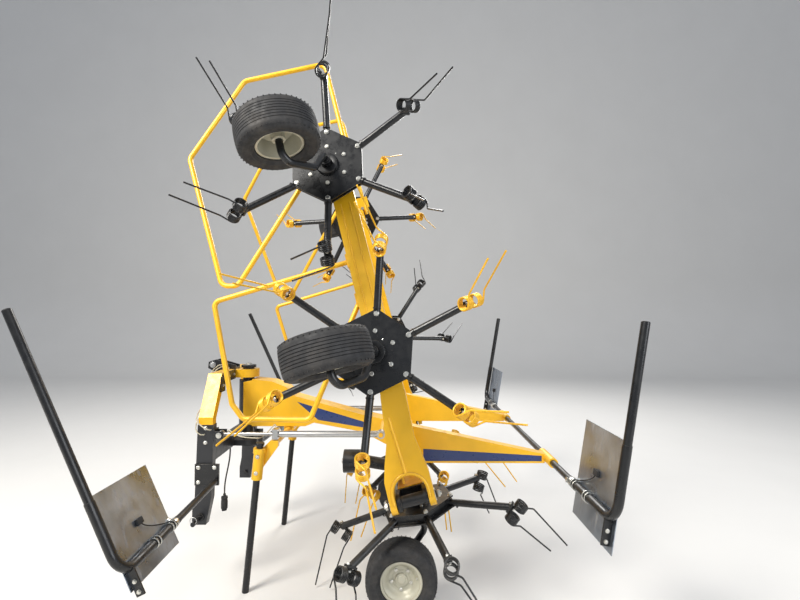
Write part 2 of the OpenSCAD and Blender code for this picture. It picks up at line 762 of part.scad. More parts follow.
module headstock_legs() {
    color(GREY) machine() difference() {
        union() {
            for (s = SIDES) {
                side_plate(s[0] * link_half, leg_t) polygon([[leg_x - 76, link_z - 45],
                    [leg_x + 10, link_z - 45], [leg_x + 42, 560], [leg_x + 50, leg_top],
                    [leg_x - 50, leg_top], [leg_x - 62, 560], [leg_x - 76, link_z + 40]]);
            }
            for (s = SIDES) sided(s[0]) strut_lug();
            translate([leg_x - 40, -link_half, 780]) cube([80, 2 * link_half, 80]);
            translate([leg_x, -70, 782]) cube([pivot_x - leg_x, 140, 40]);
            translate([pivot_x, 0, 782]) cylinder(h = 40, r = 70);
        }
        translate([pivot_x, 0, 700]) cylinder(h = 200, r = pivot_r + fit);
        for (s = SIDES) y_rod(leg_x - 26, s[0] * link_half, link_z, leg_t + 20, link_pin_r + fit);
    }
}

module headstock_arch() {
    color(YELLOW) machine() difference() {
        union() {
            for (s = SIDES) sided(s[0]) rotate([90, 0, 90]) translate([0, 0, leg_x - 45]) linear_extrude(90)
                polygon([[link_half - 25, leg_top], [link_half + 25, leg_top], [link_half + 23, 1060],
                    [link_half - 110, 1318], [-1, 1318], [-1, 1262], [link_half - 148, 1262],
                    [link_half - 25, leg_top + 30]]);
            translate([leg_x, -75, 1262]) cube([pivot_x - leg_x, 150, 56]);
            translate([pivot_x, 0, 1262]) cylinder(h = 56, r = 75);
        }
        translate([pivot_x, 0, 1200]) cylinder(h = 200, r = pivot_r + fit);
    }
}

module link_pins() {
    color(SILVER) machine() for (s = SIDES) sided(s[0]) {
        y_rod(leg_x - 26, link_half + 40, link_z, 170, link_pin_r);
        y_rod(leg_x - 26, link_half + leg_t / 2 + fit + 5, link_z, 10, 26);
    }
}

module top_link_bracket() {
    bore_x = leg_x - 125;
    color(BLACK) machine() difference() {
        union() {
            for (s = [-1, 1]) side_plate(s * 36, 14) polygon([[leg_x - 45, 1270], [leg_x + 40, 1318],
                [leg_x + 40, 1345], [bore_x + 20, top_z + 36], [bore_x - 30, top_z + 20],
                [bore_x - 34, top_z - 24], [leg_x - 45 - fit, 1262]]);
            translate([leg_x - 45, -43, 1318 + fit]) cube([85, 86, 12]);
        }
        y_rod(bore_x, 0, top_z, 120, top_bore_r);
        translate([leg_x - 45 - fit, -80, 1200]) cube([120, 160, 118 + fit]);
    }
}

module strut_tubes() {
    color(SILVER) machine() for (s = SIDES) sided(s[0]) difference() {
        union() {
            x_rod((strut_block + strut_back) / 2, strut_y, strut_z, strut_back - strut_block, strut_r);
            translate([strut_block - 18, strut_y - 28, strut_z - 28]) cube([36, 56, 62]);
            y_rod(strut_back, strut_y, strut_z, 44, 26);
        }
        x_rod((strut_block + strut_back) / 2 - 60, strut_y, strut_z, strut_back - strut_block,
            strut_rod_r + fit);
        y_rod(strut_back, strut_y, strut_z, 80, 14 + fit);
    }
}

module strut_rod(side) {
    color(SILVER) machine() sided(side) difference() {
        union() {
            bar([strut_front + 16, strut_y, strut_z], [-330, strut_y, strut_z], strut_rod_r);
            y_rod(strut_front, strut_y, strut_z, 24, 22);
        }
        y_rod(strut_front, strut_y, strut_z, 60, 12);
    }
}

// Ropes and cable

// Ring of points round the path at point i, square to the way the path runs there
function run(p, i) = unit(p[min(i + 1, len(p) - 1)] - p[max(i - 1, 0)]);
function ring(p, i, r, n) = let (w = run(p, i), a = unit(cross(w, [0.2, 1, 0.1])), b = cross(w, a))
    [for (k = [0 : n - 1]) p[i] + r * (cos(360 * k / n) * a + sin(360 * k / n) * b)];

module swept(p, r, n) {
    last = len(p) - 1;
    points = [for (i = [0 : last]) each ring(p, i, r, n)];
    sides = [for (i = [0 : last - 1], k = [0 : n - 1])
        [i * n + k, i * n + (k + 1) % n, (i + 1) * n + (k + 1) % n, (i + 1) * n + k]];
    ends = [[for (k = [n - 1 : -1 : 0]) k], [for (k = [0 : n - 1]) last * n + k]];
    polyhedron(points, concat(sides, ends));
}

module ropes() {
    color(CREAM) machine() for (p = [ROPE_1, ROPE_2]) swept(p, rope_r, 8);
}

module strut_rope() {
    color(CREAM) machine() swept(ROPE_3, rope_r, 8);
}

module cable() {
    color(BLACK) machine() swept(CABLE, cable_r, 8);
}

module cable_plug() {
    color(BLACK) machine() translate(CABLE[17]) rotate([180, 0, 0]) {
        cylinder(h = 22, r = 11);
        translate([0, 0, 20]) cylinder(h = 85, r = 22);
        translate([0, 0, 104]) cylinder(h = 12, r = 17);
    }
}

centre_beam();
centre_gearboxes();
driveline();
pto_stub();
hitch_beam();
pivot_post();
rear_beams();
rear_light_bar();
rear_boards();
stand_holders();
strut_tubes();
headstock_arch();
headstock_legs();
link_pins();
top_link_bracket();
front_light_bars();
front_boards();
ropes();
strut_rope();
cable();
cable_plug();
for (s = SIDES) {
    stand_leg(s[0]);
    strut_rod(s[0]);
    wing_beam(s[0]);
    wing_guards(s[0]);
    wing_gearboxes(s[0]);
    fold_barrel(s[0]);
    fold_rod(s[0]);
    for (k = [0 : 2]) {
        rotor(s[0], k);
        tines(s[0], k);
        tyre(s[0], k);
        rim(s[0], k);
    }
}
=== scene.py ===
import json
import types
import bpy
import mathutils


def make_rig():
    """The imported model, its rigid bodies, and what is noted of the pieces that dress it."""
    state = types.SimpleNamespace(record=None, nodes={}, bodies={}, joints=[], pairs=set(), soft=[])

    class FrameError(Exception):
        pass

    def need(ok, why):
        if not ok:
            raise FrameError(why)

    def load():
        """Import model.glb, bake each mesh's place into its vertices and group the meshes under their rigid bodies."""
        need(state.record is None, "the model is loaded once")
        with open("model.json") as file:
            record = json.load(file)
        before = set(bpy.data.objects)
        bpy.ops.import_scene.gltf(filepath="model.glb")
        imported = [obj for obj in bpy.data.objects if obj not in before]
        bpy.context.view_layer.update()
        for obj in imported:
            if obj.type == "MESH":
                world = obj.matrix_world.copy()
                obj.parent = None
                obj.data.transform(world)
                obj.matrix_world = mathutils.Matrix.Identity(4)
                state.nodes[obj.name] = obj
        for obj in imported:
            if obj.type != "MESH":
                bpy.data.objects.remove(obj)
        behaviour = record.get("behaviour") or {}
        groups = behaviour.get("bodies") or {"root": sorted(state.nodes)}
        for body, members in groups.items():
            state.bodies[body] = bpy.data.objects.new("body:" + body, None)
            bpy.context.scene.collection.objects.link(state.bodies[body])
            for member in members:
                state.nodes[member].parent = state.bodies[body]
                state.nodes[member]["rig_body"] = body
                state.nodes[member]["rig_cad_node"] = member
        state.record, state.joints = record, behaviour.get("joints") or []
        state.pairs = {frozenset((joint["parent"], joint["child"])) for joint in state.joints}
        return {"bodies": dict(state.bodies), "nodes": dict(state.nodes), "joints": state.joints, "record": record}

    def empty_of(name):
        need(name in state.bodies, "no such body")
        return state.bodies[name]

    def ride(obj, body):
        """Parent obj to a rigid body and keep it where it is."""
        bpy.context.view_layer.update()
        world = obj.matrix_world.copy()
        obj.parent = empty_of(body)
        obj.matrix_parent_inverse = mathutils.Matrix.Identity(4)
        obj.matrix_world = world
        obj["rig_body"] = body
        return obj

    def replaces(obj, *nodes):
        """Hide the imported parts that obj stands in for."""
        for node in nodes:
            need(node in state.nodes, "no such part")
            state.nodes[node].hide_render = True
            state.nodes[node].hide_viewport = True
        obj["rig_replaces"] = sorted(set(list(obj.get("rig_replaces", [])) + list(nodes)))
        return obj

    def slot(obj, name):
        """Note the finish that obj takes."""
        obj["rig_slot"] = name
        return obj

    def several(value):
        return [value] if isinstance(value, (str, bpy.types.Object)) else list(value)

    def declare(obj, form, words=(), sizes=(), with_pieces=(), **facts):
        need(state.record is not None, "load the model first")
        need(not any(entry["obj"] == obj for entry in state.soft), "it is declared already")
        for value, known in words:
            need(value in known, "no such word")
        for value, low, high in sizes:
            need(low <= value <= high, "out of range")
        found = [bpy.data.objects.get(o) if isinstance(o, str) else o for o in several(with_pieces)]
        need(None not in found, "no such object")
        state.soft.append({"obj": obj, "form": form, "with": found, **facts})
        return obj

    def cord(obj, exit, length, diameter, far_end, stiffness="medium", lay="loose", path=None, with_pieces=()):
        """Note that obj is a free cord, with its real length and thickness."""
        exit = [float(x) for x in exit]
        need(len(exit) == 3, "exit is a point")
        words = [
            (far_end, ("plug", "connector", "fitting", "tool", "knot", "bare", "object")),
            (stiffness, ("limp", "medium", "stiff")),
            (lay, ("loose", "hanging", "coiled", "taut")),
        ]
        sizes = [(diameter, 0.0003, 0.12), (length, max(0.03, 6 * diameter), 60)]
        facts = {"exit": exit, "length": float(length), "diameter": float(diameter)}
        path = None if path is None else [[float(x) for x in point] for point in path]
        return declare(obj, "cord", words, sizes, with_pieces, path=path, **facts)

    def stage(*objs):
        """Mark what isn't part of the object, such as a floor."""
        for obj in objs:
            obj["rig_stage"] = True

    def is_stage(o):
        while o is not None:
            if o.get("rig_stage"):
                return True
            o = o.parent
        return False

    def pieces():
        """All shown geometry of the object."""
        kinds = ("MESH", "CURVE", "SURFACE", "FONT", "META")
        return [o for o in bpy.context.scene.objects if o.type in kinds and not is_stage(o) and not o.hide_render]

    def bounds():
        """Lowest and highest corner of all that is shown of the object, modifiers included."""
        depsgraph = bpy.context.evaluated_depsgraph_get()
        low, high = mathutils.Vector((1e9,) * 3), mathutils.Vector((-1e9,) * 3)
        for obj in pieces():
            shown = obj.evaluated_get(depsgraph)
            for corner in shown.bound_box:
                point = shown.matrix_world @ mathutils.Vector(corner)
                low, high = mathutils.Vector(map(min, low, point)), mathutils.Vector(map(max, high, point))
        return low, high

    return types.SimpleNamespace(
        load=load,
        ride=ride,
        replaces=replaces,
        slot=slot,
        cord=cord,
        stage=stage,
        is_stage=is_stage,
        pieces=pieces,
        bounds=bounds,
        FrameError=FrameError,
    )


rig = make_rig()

bl_info = {
    "name": "Hay tedder look",
    "version": (1, 0, 0),
    "blender": (4, 5, 0),
    "location": "3D View > Sidebar > Tedder",
    "description": "Dresses the packed frame of a folded hay tedder: paint, tyres, tines, bolts and cords",
    "category": "Object",
}

import json
import math
from functools import partial

import bmesh
import bpy
from bpy.props import FloatProperty, FloatVectorProperty, IntProperty, PointerProperty
from bpy.types import Operator, Panel, PropertyGroup
from mathutils import Matrix, Vector

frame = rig.load()
CAD_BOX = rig.bounds()

SLOT_OF = {part["node"]: part["material_slot"] for part in frame["record"]["subparts"]}

# Sizes of the frame, in metres, as the CAD source has them
OX = 0.2365978
TILT, FOLD = 14.8, 99.8
PITCH, HINGE_OUT, HINGE_UP = 1.107, 0.323, 0.19
HINGE_Y = PITCH / 2 + HINGE_OUT
WHEEL_AT = ((-0.193, 0.1, -0.3024), (-0.17, 0.0, -0.38), (-0.17, 0.0, -0.38))
TYRE_R = 0.206
TILT_X = 0.169
TILT_Z = (TYRE_R - WHEEL_AT[0][0] * math.sin(math.radians(TILT))
          - WHEEL_AT[0][2] * math.cos(math.radians(TILT)))
HUB_H = 0.058
COIL_OUT, COIL_DROP, COIL_LEAN = 0.559, 0.08, 48
COIL_GAP, COIL_LENGTH = 0.031, 5 * 0.009 + 0.0095
BEAM_BACK, BEAM_H = 0.035, 0.1
WING_LEN = PITCH - HINGE_OUT + PITCH + 0.075
MOUTH_R, EAR_T = 0.086, 0.034
LEG_X, LINK_HALF, LINK_Z = -1.17, 0.41, 0.443
LEG_FRONT, LEG_SIDE = LEG_X + 0.0535, LINK_HALF + 0.025
PIVOT_X = -1.05
STRUT_Y, STRUT_Z = 0.4, 0.95
ROTORS = ((11.6, 1), (18.4, -1), (11.6, 1))  # turn of the first arm in degrees, hand of the tines
SIDES = ((-1, "left"), (1, "right"))
STATIONS = [(side, k, f"{name}_{word}") for side, word in SIDES
            for k, name in enumerate(("centre", "middle", "outer"))]

# Light bars: foot of the post, its lean and rise, and what the bar is bent and turned by
BAR_R, BEND_R = 0.018, 0.09
FRONT_BAR, FRONT_LEAN, FRONT_RISE = (-1.053, 1.46, 0.661), 24.8, 1.06
FRONT_TURN, FRONT_CLIMB = 2.246, 1.473
REAR_BAR, REAR_LEAN, REAR_RISE = (0.93, 1.42, 0.855), 9.6, 0.817
LIGHT_BARS = (  # name, foot, lean, rise, inner end, side of the boards, CAD body
    ("front", FRONT_BAR, -FRONT_LEAN, FRONT_RISE, (-1.1, 0.447, 0.668), -1, "headstock"),
    ("rear", REAR_BAR, REAR_LEAN, REAR_RISE, (REAR_BAR[0], 0.62, REAR_BAR[2]), 1, "frame"))


# Frames

def shift(x, y, z):
    return Matrix.Translation((x, y, z))


def turned(degrees, axis):
    return Matrix.Rotation(math.radians(degrees), 4, axis)


def sided(side):
    return Matrix.Diagonal((1, side, 1, 1))


MACHINE = shift(OX, 0, 0)
TILTED = MACHINE @ shift(TILT_X, 0, TILT_Z) @ turned(-TILT, "Y")


def wing_frame(side):
    return TILTED @ sided(side) @ shift(0, HINGE_Y, HINGE_UP) @ turned(FOLD, "X")


def station(side, k):
    """Frame of a rotor: its axis is z and the underside of its plate is z = 0."""
    if k == 0:
        return TILTED @ sided(side) @ shift(0, PITCH / 2, 0)
    return wing_frame(side) @ shift(0, k * PITCH - HINGE_OUT, -HINGE_UP)


def arm_frame(side, k, i):
    """Frame of arm i of a rotor, with the arm along x."""
    start = 90 - ROTORS[k][0] - (30 if side > 0 else 0)
    return station(side, k) @ turned(start + 60 * i, "Z")


def coil_frame(side, k, i):
    return arm_frame(side, k, i) @ shift(COIL_OUT, 0, -COIL_DROP) @ turned(COIL_LEAN, "Y")


def wheel_frame(side, k):
    """Frame of a wheel: its axle is z, outboard is +z and z = 0 is the middle of the tyre."""
    return station(side, k) @ shift(*WHEEL_AT[k]) @ turned(-90, "X")


def post_frame(side, foot, lean):
    """Frame of a board post: z runs up the post from where its line meets the bar."""
    return MACHINE @ sided(side) @ shift(*foot) @ turned(lean, "Y")


def bar_frame(side, bar, lean):
    """Post frame turned so that -y runs along the bar, which lies askew in front."""
    place = post_frame(side, bar, lean)
    if bar != FRONT_BAR:
        return place
    return place @ turned(-FRONT_TURN, "Z") @ turned(-FRONT_CLIMB, "X")


def looking(point, axis):
    """Frame at a point whose z is the given direction and whose x lies level."""
    z = axis.normalized()
    x = Vector((0, 0, 1)).cross(z).normalized()
    y = z.cross(x)
    rows = [(x[i], y[i], z[i], point[i]) for i in range(3)]
    return Matrix((*rows, (0, 0, 0, 1)))


# Points and lines

def machine_points(points):
    """Points of the CAD source, in millimetres, moved to the row frame in metres."""
    return [Vector((x / 1000 + OX, y / 1000, z / 1000)) for x, y, z in points]


def circle(radius, count, z=0.0):
    """Points round the z axis, starting on +x."""
    return [(radius * math.cos(math.tau * k / count), radius * math.sin(math.tau * k / count), z)
            for k in range(count)]


def arc(radius, z, degrees):
    """Points on a circle round the z axis at the given angles."""
    return [(radius * math.cos(math.radians(a)), radius * math.sin(math.radians(a)), z) for a in degrees]


def carried(path):
    """Direction of a path at each point, with a side direction carried along without a twist."""
    side = None
    for i in range(len(path)):
        ahead = (path[min(i + 1, len(path) - 1)] - path[max(i - 1, 0)]).normalized()
        side = ahead.orthogonal().normalized() if side is None else side
        side = (side - ahead * side.dot(ahead)).normalized()
        yield ahead, side


def rounded(points, radius, steps=6):
    """Path with its corners rounded off to a radius."""
    points = [Vector(p) for p in points]
    out = [points[0]]
    for a, b, c in zip(points, points[1:], points[2:]):
        u, v = (a - b).normalized(), (c - b).normalized()
        half = u.angle(v) / 2
        reach = min(radius / math.tan(half), 0.49 * (a - b).length, 0.49 * (c - b).length)
        middle = b + (u + v).normalized() * reach / math.cos(half)
        start, end = b + u * reach - middle, b + v * reach - middle
        whole = start.angle(end)
        for i in range(steps + 1):
            t = i / steps
            swing = start * math.sin((1 - t) * whole) + end * math.sin(t * whole)
            out.append(middle + swing / math.sin(whole))
    return out + [points[-1]]


def bezier(corners, count):
    """Points of the cubic curve of four corners."""
    a, b, c, d = (Vector(corner) for corner in corners)
    line = []
    for i in range(count):
        t = i / (count - 1)
        s = 1 - t
        line.append(a * s ** 3 + b * 3 * t * s ** 2 + c * 3 * t * t * s + d * t ** 3)
    return line


def finer(points, steps):
    """The same line with each stretch divided, so that a twist round it stays smooth."""
    out = []
    for a, b in zip(points, points[1:]):
        out += [a.lerp(b, t / steps) for t in range(steps)]
    return out + [points[-1]]


def path_length(points):
    return sum((b - a).length for a, b in zip(points, points[1:]))


# Mesh building

class Shape:
    """A mesh under construction. Its parts are added one by one, each with the matrix of its place."""

    def __init__(self):
        self.verts = []
        self.faces = []

    def add(self, points, faces, place=None):
        start = len(self.verts)
        flip = place is not None and place.determinant() < 0
        self.verts += [place @ Vector(p) if place is not None else Vector(p) for p in points]
        for face in faces:
            row = [start + i for i in face]
            self.faces.append(row[::-1] if flip else row)

    def grid(self, rings, place=None, closed=False):
        """Skin over rings of points, each ring closed. The rings run along the right-hand axis."""
        n = len(rings[0])
        points = [p for ring in rings for p in ring]
        faces = []
        for i in range(len(rings) if closed else len(rings) - 1):
            j = (i + 1) % len(rings)
            faces += [(i * n + k, i * n + (k + 1) % n, j * n + (k + 1) % n, j * n + k) for k in range(n)]
        if not closed:
            faces.append(list(range(n))[::-1])
            faces.append([(len(rings) - 1) * n + k for k in range(n)])
        self.add(points, faces, place)

    def tube(self, path, radius, sides=10, place=None):
        """Tube round a path. radius is a number or one per point."""
        path = [Vector(p) for p in path]
        rings = []
        for i, (ahead, side) in enumerate(carried(path)):
            up = ahead.cross(side)
            r = radius[i] if isinstance(radius, (list, tuple)) else radius
            rings.append([path[i] + (side * a + up * b) * r for a, b, _ in circle(1, sides)])
        self.grid(rings, place)

    def lathe(self, profile, steps, place=None, closed=False):
        """Profile of (radius, height) turned about z. Open profiles end on the axis or in a flat cap."""
        self.grid([circle(r, steps, z) for r, z in profile], place, closed)

    def drum(self, radius, low, high, steps, place):
        """Plain round pin or disc between two heights."""
        self.lathe([(0, low), (radius, low), (radius, high), (0, high)], steps, place)

    def prism(self, outline, low, high, place=None, bevel=0.0):
        """Outline in x and y, made solid from z = low to z = high, its edges rounded off by bevel."""
        bm = bmesh.new()
        face = bm.faces.new([bm.verts.new((x, y, low)) for x, y in outline])
        face.normal_update()
        if face.normal.z > 0:
            face.normal_flip()
        lid = bmesh.ops.extrude_face_region(bm, geom=[face])["geom"]
        lid = [v for v in lid if isinstance(v, bmesh.types.BMVert)]
        bmesh.ops.translate(bm, vec=(0, 0, high - low), verts=lid)
        bmesh.ops.recalc_face_normals(bm, faces=bm.faces)
        if bevel:
            bmesh.ops.bevel(bm, geom=bm.edges[:], offset=bevel, segments=2, profile=0.6,
                            affect="EDGES", clamp_overlap=True)
        bm.verts.index_update()
        self.add([v.co.copy() for v in bm.verts], [[v.index for v in f.verts] for f in bm.faces], place)
        bm.free()

    def block(self, low, high, place=None, bevel=0.002):
        outline = [(low[0], low[1]), (high[0], low[1]), (high[0], high[1]), (low[0], high[1])]
        self.prism(outline, low[2], high[2], place, bevel)

    def bolt(self, place, size=0.012, washer=True, stub=False):
        """Bolt head standing on z = 0, or with stub a nut with the thread's end showing."""
        base, height, across = 0.0, 0.64 * size, 0.96 * size
        if washer:
            base = 0.0025
            self.drum(size * 1.15, 0, base, 20, place)
        heights = ((base, 1), (base + height * 0.86, 1), (base + height, 0.86))
        self.grid([circle(across * scale, 6, z) for z, scale in heights], place)
        if stub:
            top = base + height + 0.35 * size
            thread = size * 0.5
            self.lathe([(0, base), (thread, base), (thread, top - 0.001), (size * 0.4, top), (0, top)],
                       12, place)

    def make(self, name, finish, body, soft=35.0):
        """The finished object, smooth up to an angle in degrees, riding on a CAD body."""
        mesh = bpy.data.meshes.new(name)
        mesh.from_pydata([tuple(v) for v in self.verts], [], self.faces)
        mesh.validate()
        bm = bmesh.new()
        bm.from_mesh(mesh)
        bmesh.ops.remove_doubles(bm, verts=bm.verts, dist=1e-6)
        bm.to_mesh(mesh)
        bm.free()
        mesh.shade_smooth()
        mesh.set_sharp_from_angle(angle=math.radians(soft))
        mesh.materials.append(finish_of(finish))
        obj = bpy.data.objects.new(name, mesh)
        bpy.context.scene.collection.objects.link(obj)
        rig.ride(obj, body)
        if finish in SLOT_OF.values():
            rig.slot(obj, finish)
        return obj


# Materials

class Graph:
    """Node graph of one material."""

    def __init__(self, name):
        self.material = bpy.data.materials.get(name) or bpy.data.materials.new(name)
        self.material.use_nodes = True
        self.tree = self.material.node_tree
        self.bsdf = self.tree.nodes["Principled BSDF"]
        self.place = self.node("ShaderNodeTexCoord").outputs["Object"]

    def node(self, kind, inputs=None, **settings):
        made = self.tree.nodes.new(kind)
        for key, value in settings.items():
            setattr(made, key, value)
        for key, value in (inputs or {}).items():
            self.put(made.inputs[key], value)
        return made

    def put(self, socket, value):
        if isinstance(value, bpy.types.NodeSocket):
            self.tree.links.new(value, socket)
        else:
            socket.default_value = value

    def surface(self, **values):
        """Sets or links the shader's inputs, each named with _ for a blank."""
        for key, value in values.items():
            self.put(self.bsdf.inputs[key.replace("_", " ")], value)

    def noise(self, scale, detail=4.0, rough=0.55, stretch=None):
        place = self.place
        if stretch:
            place = self.node("ShaderNodeMapping", {"Vector": place, "Scale": stretch}).outputs["Vector"]
        inputs = {"Vector": place, "Scale": scale, "Detail": detail, "Roughness": rough}
        return self.node("ShaderNodeTexNoise", inputs).outputs["Fac"]

    def step(self, value, low, high, out_low=0.0, out_high=1.0):
        inputs = {"Value": value, "From Min": low, "From Max": high, "To Min": out_low, "To Max": out_high}
        return self.node("ShaderNodeMapRange", inputs, interpolation_type="SMOOTHSTEP").outputs["Result"]

    def calc(self, kind, a, b):
        return self.node("ShaderNodeMath", {0: a, 1: b}, operation=kind, use_clamp=True).outputs[0]

    def times(self, a, b):
        return self.calc("MULTIPLY", a, b)

    def plus(self, a, b):
        return self.calc("ADD", a, b)

    def mix(self, factor, a, b):
        """Mixed colour. The node has a socket of each type, and 0, 6, 7 and 2 are those of a colour."""
        return self.node("ShaderNodeMix", {0: factor, 6: a, 7: b}, data_type="RGBA").outputs[2]

    def facing_up(self):
        """1 on faces that look up, 0 on faces that look down or sideways."""
        normal = self.node("ShaderNodeNewGeometry").outputs["Normal"]
        height = self.node("ShaderNodeSeparateXYZ", {"Vector": normal}).outputs["Z"]
        return self.step(height, 0.05, 0.95)

    def rounded_normal(self, radius):
        return self.node("ShaderNodeBevel", {"Radius": radius}, samples=4).outputs["Normal"]

    def bump(self, height, distance, strength=1.0, edge=0.0):
        inputs = {"Height": height, "Distance": distance, "Strength": strength}
        if edge:
            inputs["Normal"] = self.rounded_normal(edge)
        self.surface(Normal=self.node("ShaderNodeBump", inputs).outputs["Normal"])

    def edges(self, radius):
        """0 on flats, rising to 1 on worn edges within a radius."""
        inputs = {0: self.rounded_normal(radius), 1: self.node("ShaderNodeNewGeometry").outputs["Normal"]}
        dot = self.node("ShaderNodeVectorMath", inputs, operation="DOT_PRODUCT").outputs["Value"]
        return self.step(dot, 0.98, 0.8)


def tint(colour, scale=1.0, lift=0.0):
    """Colour made darker or lighter, with its alpha."""
    return (*(c * scale + lift for c in colour), 1)


def paint(name, colour, wear, dust, rough=0.36, edge=0.0025, under=(0.16, 0.13, 0.1), coat=0.25):
    """Painted steel: clouded colour, dust on what looks up, chips and worn edges down to the metal."""
    g = Graph(name)
    base = g.mix(g.step(g.noise(2.3, 5), 0.35, 0.7), tint(colour), tint(colour, 0.8))
    streak = g.step(g.noise(9, 6, 0.6, (1, 1, 0.22)), 0.56, 0.78)
    base = g.mix(g.times(streak, 0.22), base, tint(colour, 0.6, 0.04))
    film = g.times(g.facing_up(), g.step(g.noise(16, 8, 0.65), 0.32, 0.68))
    base = g.mix(g.times(film, dust), base, (0.42, 0.37, 0.29, 1))
    chips = g.step(g.noise(70, 6, 0.7), 0.7, 0.735)
    rub = g.times(g.edges(edge * 1.6), g.step(g.noise(34, 6, 0.7), 0.5, 0.62))
    bare = g.times(g.calc("MAXIMUM", chips, rub), wear)
    sheen = g.step(g.noise(26, 5), 0.3, 0.75, rough - 0.07, rough + 0.12)
    g.surface(Base_Color=g.mix(bare, base, tint(under)), Roughness=g.plus(sheen, g.times(film, 0.35)),
              Coat_Weight=coat, Coat_Roughness=0.22)
    g.bump(g.noise(190, 3), 0.0006, 0.5, edge)
    return g.material


def metal(name, colour, rough, grain=(1, 1, 1), tarnish=0.4, edge=0.0015):
    """Bare or plated metal with a drawn grain and a dull, slightly rusted film."""
    g = Graph(name)
    lines = g.noise(60, 8, 0.7, grain)
    film = g.times(g.step(g.noise(11, 8, 0.68), 0.5, 0.74), tarnish)
    base = g.mix(lines, tint(colour, 0.82), tint(colour))
    g.surface(Base_Color=g.mix(film, base, (0.2, 0.15, 0.1, 1)),
              Metallic=g.step(film, 0.2, 0.8, 1.0, 0.35),
              Roughness=g.plus(g.times(lines, 0.16), g.plus(rough, film)))
    g.bump(lines, 0.0004, 0.5, edge)
    return g.material


def rubber(name, colour, grain):
    """Dull rubber with a fine grain and a little dust in its hollows."""
    g = Graph(name)
    dust = g.times(g.step(g.noise(7, 8, 0.65), 0.42, 0.75), 0.16)
    base = g.mix(g.noise(140, 4), tint(colour, 0.7), tint(colour, 1.5))
    g.surface(Base_Color=g.mix(dust, base, (0.2, 0.17, 0.135, 1)),
              Roughness=g.step(g.noise(40, 6), 0.3, 0.7, 0.62, 0.86))
    g.bump(g.noise(grain, 5), 0.0006, 0.6, 0.0012)
    return g.material


def sheet_metal(name):
    """Back of a light alloy board: milky, with runs of dirt and rain drawn down it."""
    g = Graph(name)
    runs = g.noise(26, 6, 0.6, (1, 1, 0.1))
    cloud = g.step(g.noise(3.1, 6, 0.6), 0.36, 0.68)
    base = g.mix(cloud, (0.27, 0.31, 0.37, 1), (0.46, 0.51, 0.58, 1))
    dirt = g.times(g.step(runs, 0.54, 0.74), 0.6)
    g.surface(Base_Color=g.mix(dirt, base, (0.21, 0.155, 0.085, 1)),
              Metallic=g.step(dirt, 0.0, 0.6, 0.95, 0.45),
              Roughness=g.plus(g.step(cloud, 0, 1, 0.26, 0.42), g.times(dirt, 0.4)))
    g.bump(g.noise(9, 4), 0.004, 0.35, 0.001)
    return g.material


def fibre(name, colour):
    """Laid rope, soiled in patches."""
    g = Graph(name)
    lay = g.noise(420, 6, 0.7, (1, 1, 0.35))
    soil = g.times(g.step(g.noise(22, 6), 0.45, 0.72), 0.45)
    base = g.mix(lay, tint(colour, 0.62), tint(colour))
    g.surface(Base_Color=g.mix(soil, base, (0.2, 0.17, 0.12, 1)), Roughness=0.9)
    g.bump(lay, 0.0008, 0.9)
    return g.material


def build_materials(look):
    """Every material of the part by its name."""
    yellow, black, grey = tuple(look.yellow), tuple(look.black), tuple(look.grey)
    wear, dust = look.wear, look.dust
    paints = {  # colour, wear, dust, roughness, and where they differ edge radius, undercoat and gloss
        "yellow_paint": (yellow, wear, dust, 0.36, 0.0025, (0.13, 0.075, 0.03)),
        "black_paint": (black, wear, dust * 0.2, 0.3, 0.0025, (0.2, 0.17, 0.14)),
        "grey_paint": (grey, wear, dust * 0.4, 0.38, 0.0025, (0.24, 0.17, 0.1)),
        "rim_paint": (tuple(look.rim), wear, dust * 0.8, 0.42, 0.0025, (0.22, 0.11, 0.05)),
        "blue_paint": ((0.01, 0.03, 0.135), wear, dust * 0.5, 0.32),
        "yellow_wire": (yellow, wear * 0.8, dust * 0.3, 0.28, 0.0012, (0.22, 0.19, 0.16), 0.4),
        "black_wire": (black, wear * 0.8, dust * 0.3, 0.24, 0.0012, (0.26, 0.22, 0.19), 0.4),
    }
    made = {name: paint(name, *values) for name, values in paints.items()}
    made["bare_metal"] = metal("bare_metal", (0.56, 0.56, 0.55), 0.22, (1, 0.12, 0.12))
    made["zinc"] = metal("zinc", (0.66, 0.65, 0.6), 0.2, (1, 1, 1), 0.25, 0.0006)
    made["board_metal"] = sheet_metal("board_metal")
    made["rubber"] = rubber("rubber", (0.014, 0.014, 0.015), 320)
    made["cable_rubber"] = rubber("cable_rubber", (0.009, 0.009, 0.01), 600)
    made["pale_rope"] = fibre("pale_rope", (0.62, 0.57, 0.43))
    return made


MATERIALS = {}


def finish_of(name):
    if not MATERIALS:
        MATERIALS.update(build_materials(bpy.context.scene.tedder_paint))
    return MATERIALS[name]


# Camera and cords

def place_camera(view):
    data = bpy.data.cameras.new("camera")
    data.sensor_width = 36
    data.lens = view.lens
    data.clip_end = 200
    camera = bpy.data.objects.new("camera", data)
    camera.location = view.location
    camera.rotation_euler = (math.radians(90 + view.pitch), 0, math.radians(view.heading))
    bpy.context.scene.collection.objects.link(camera)
    bpy.context.scene.camera = camera


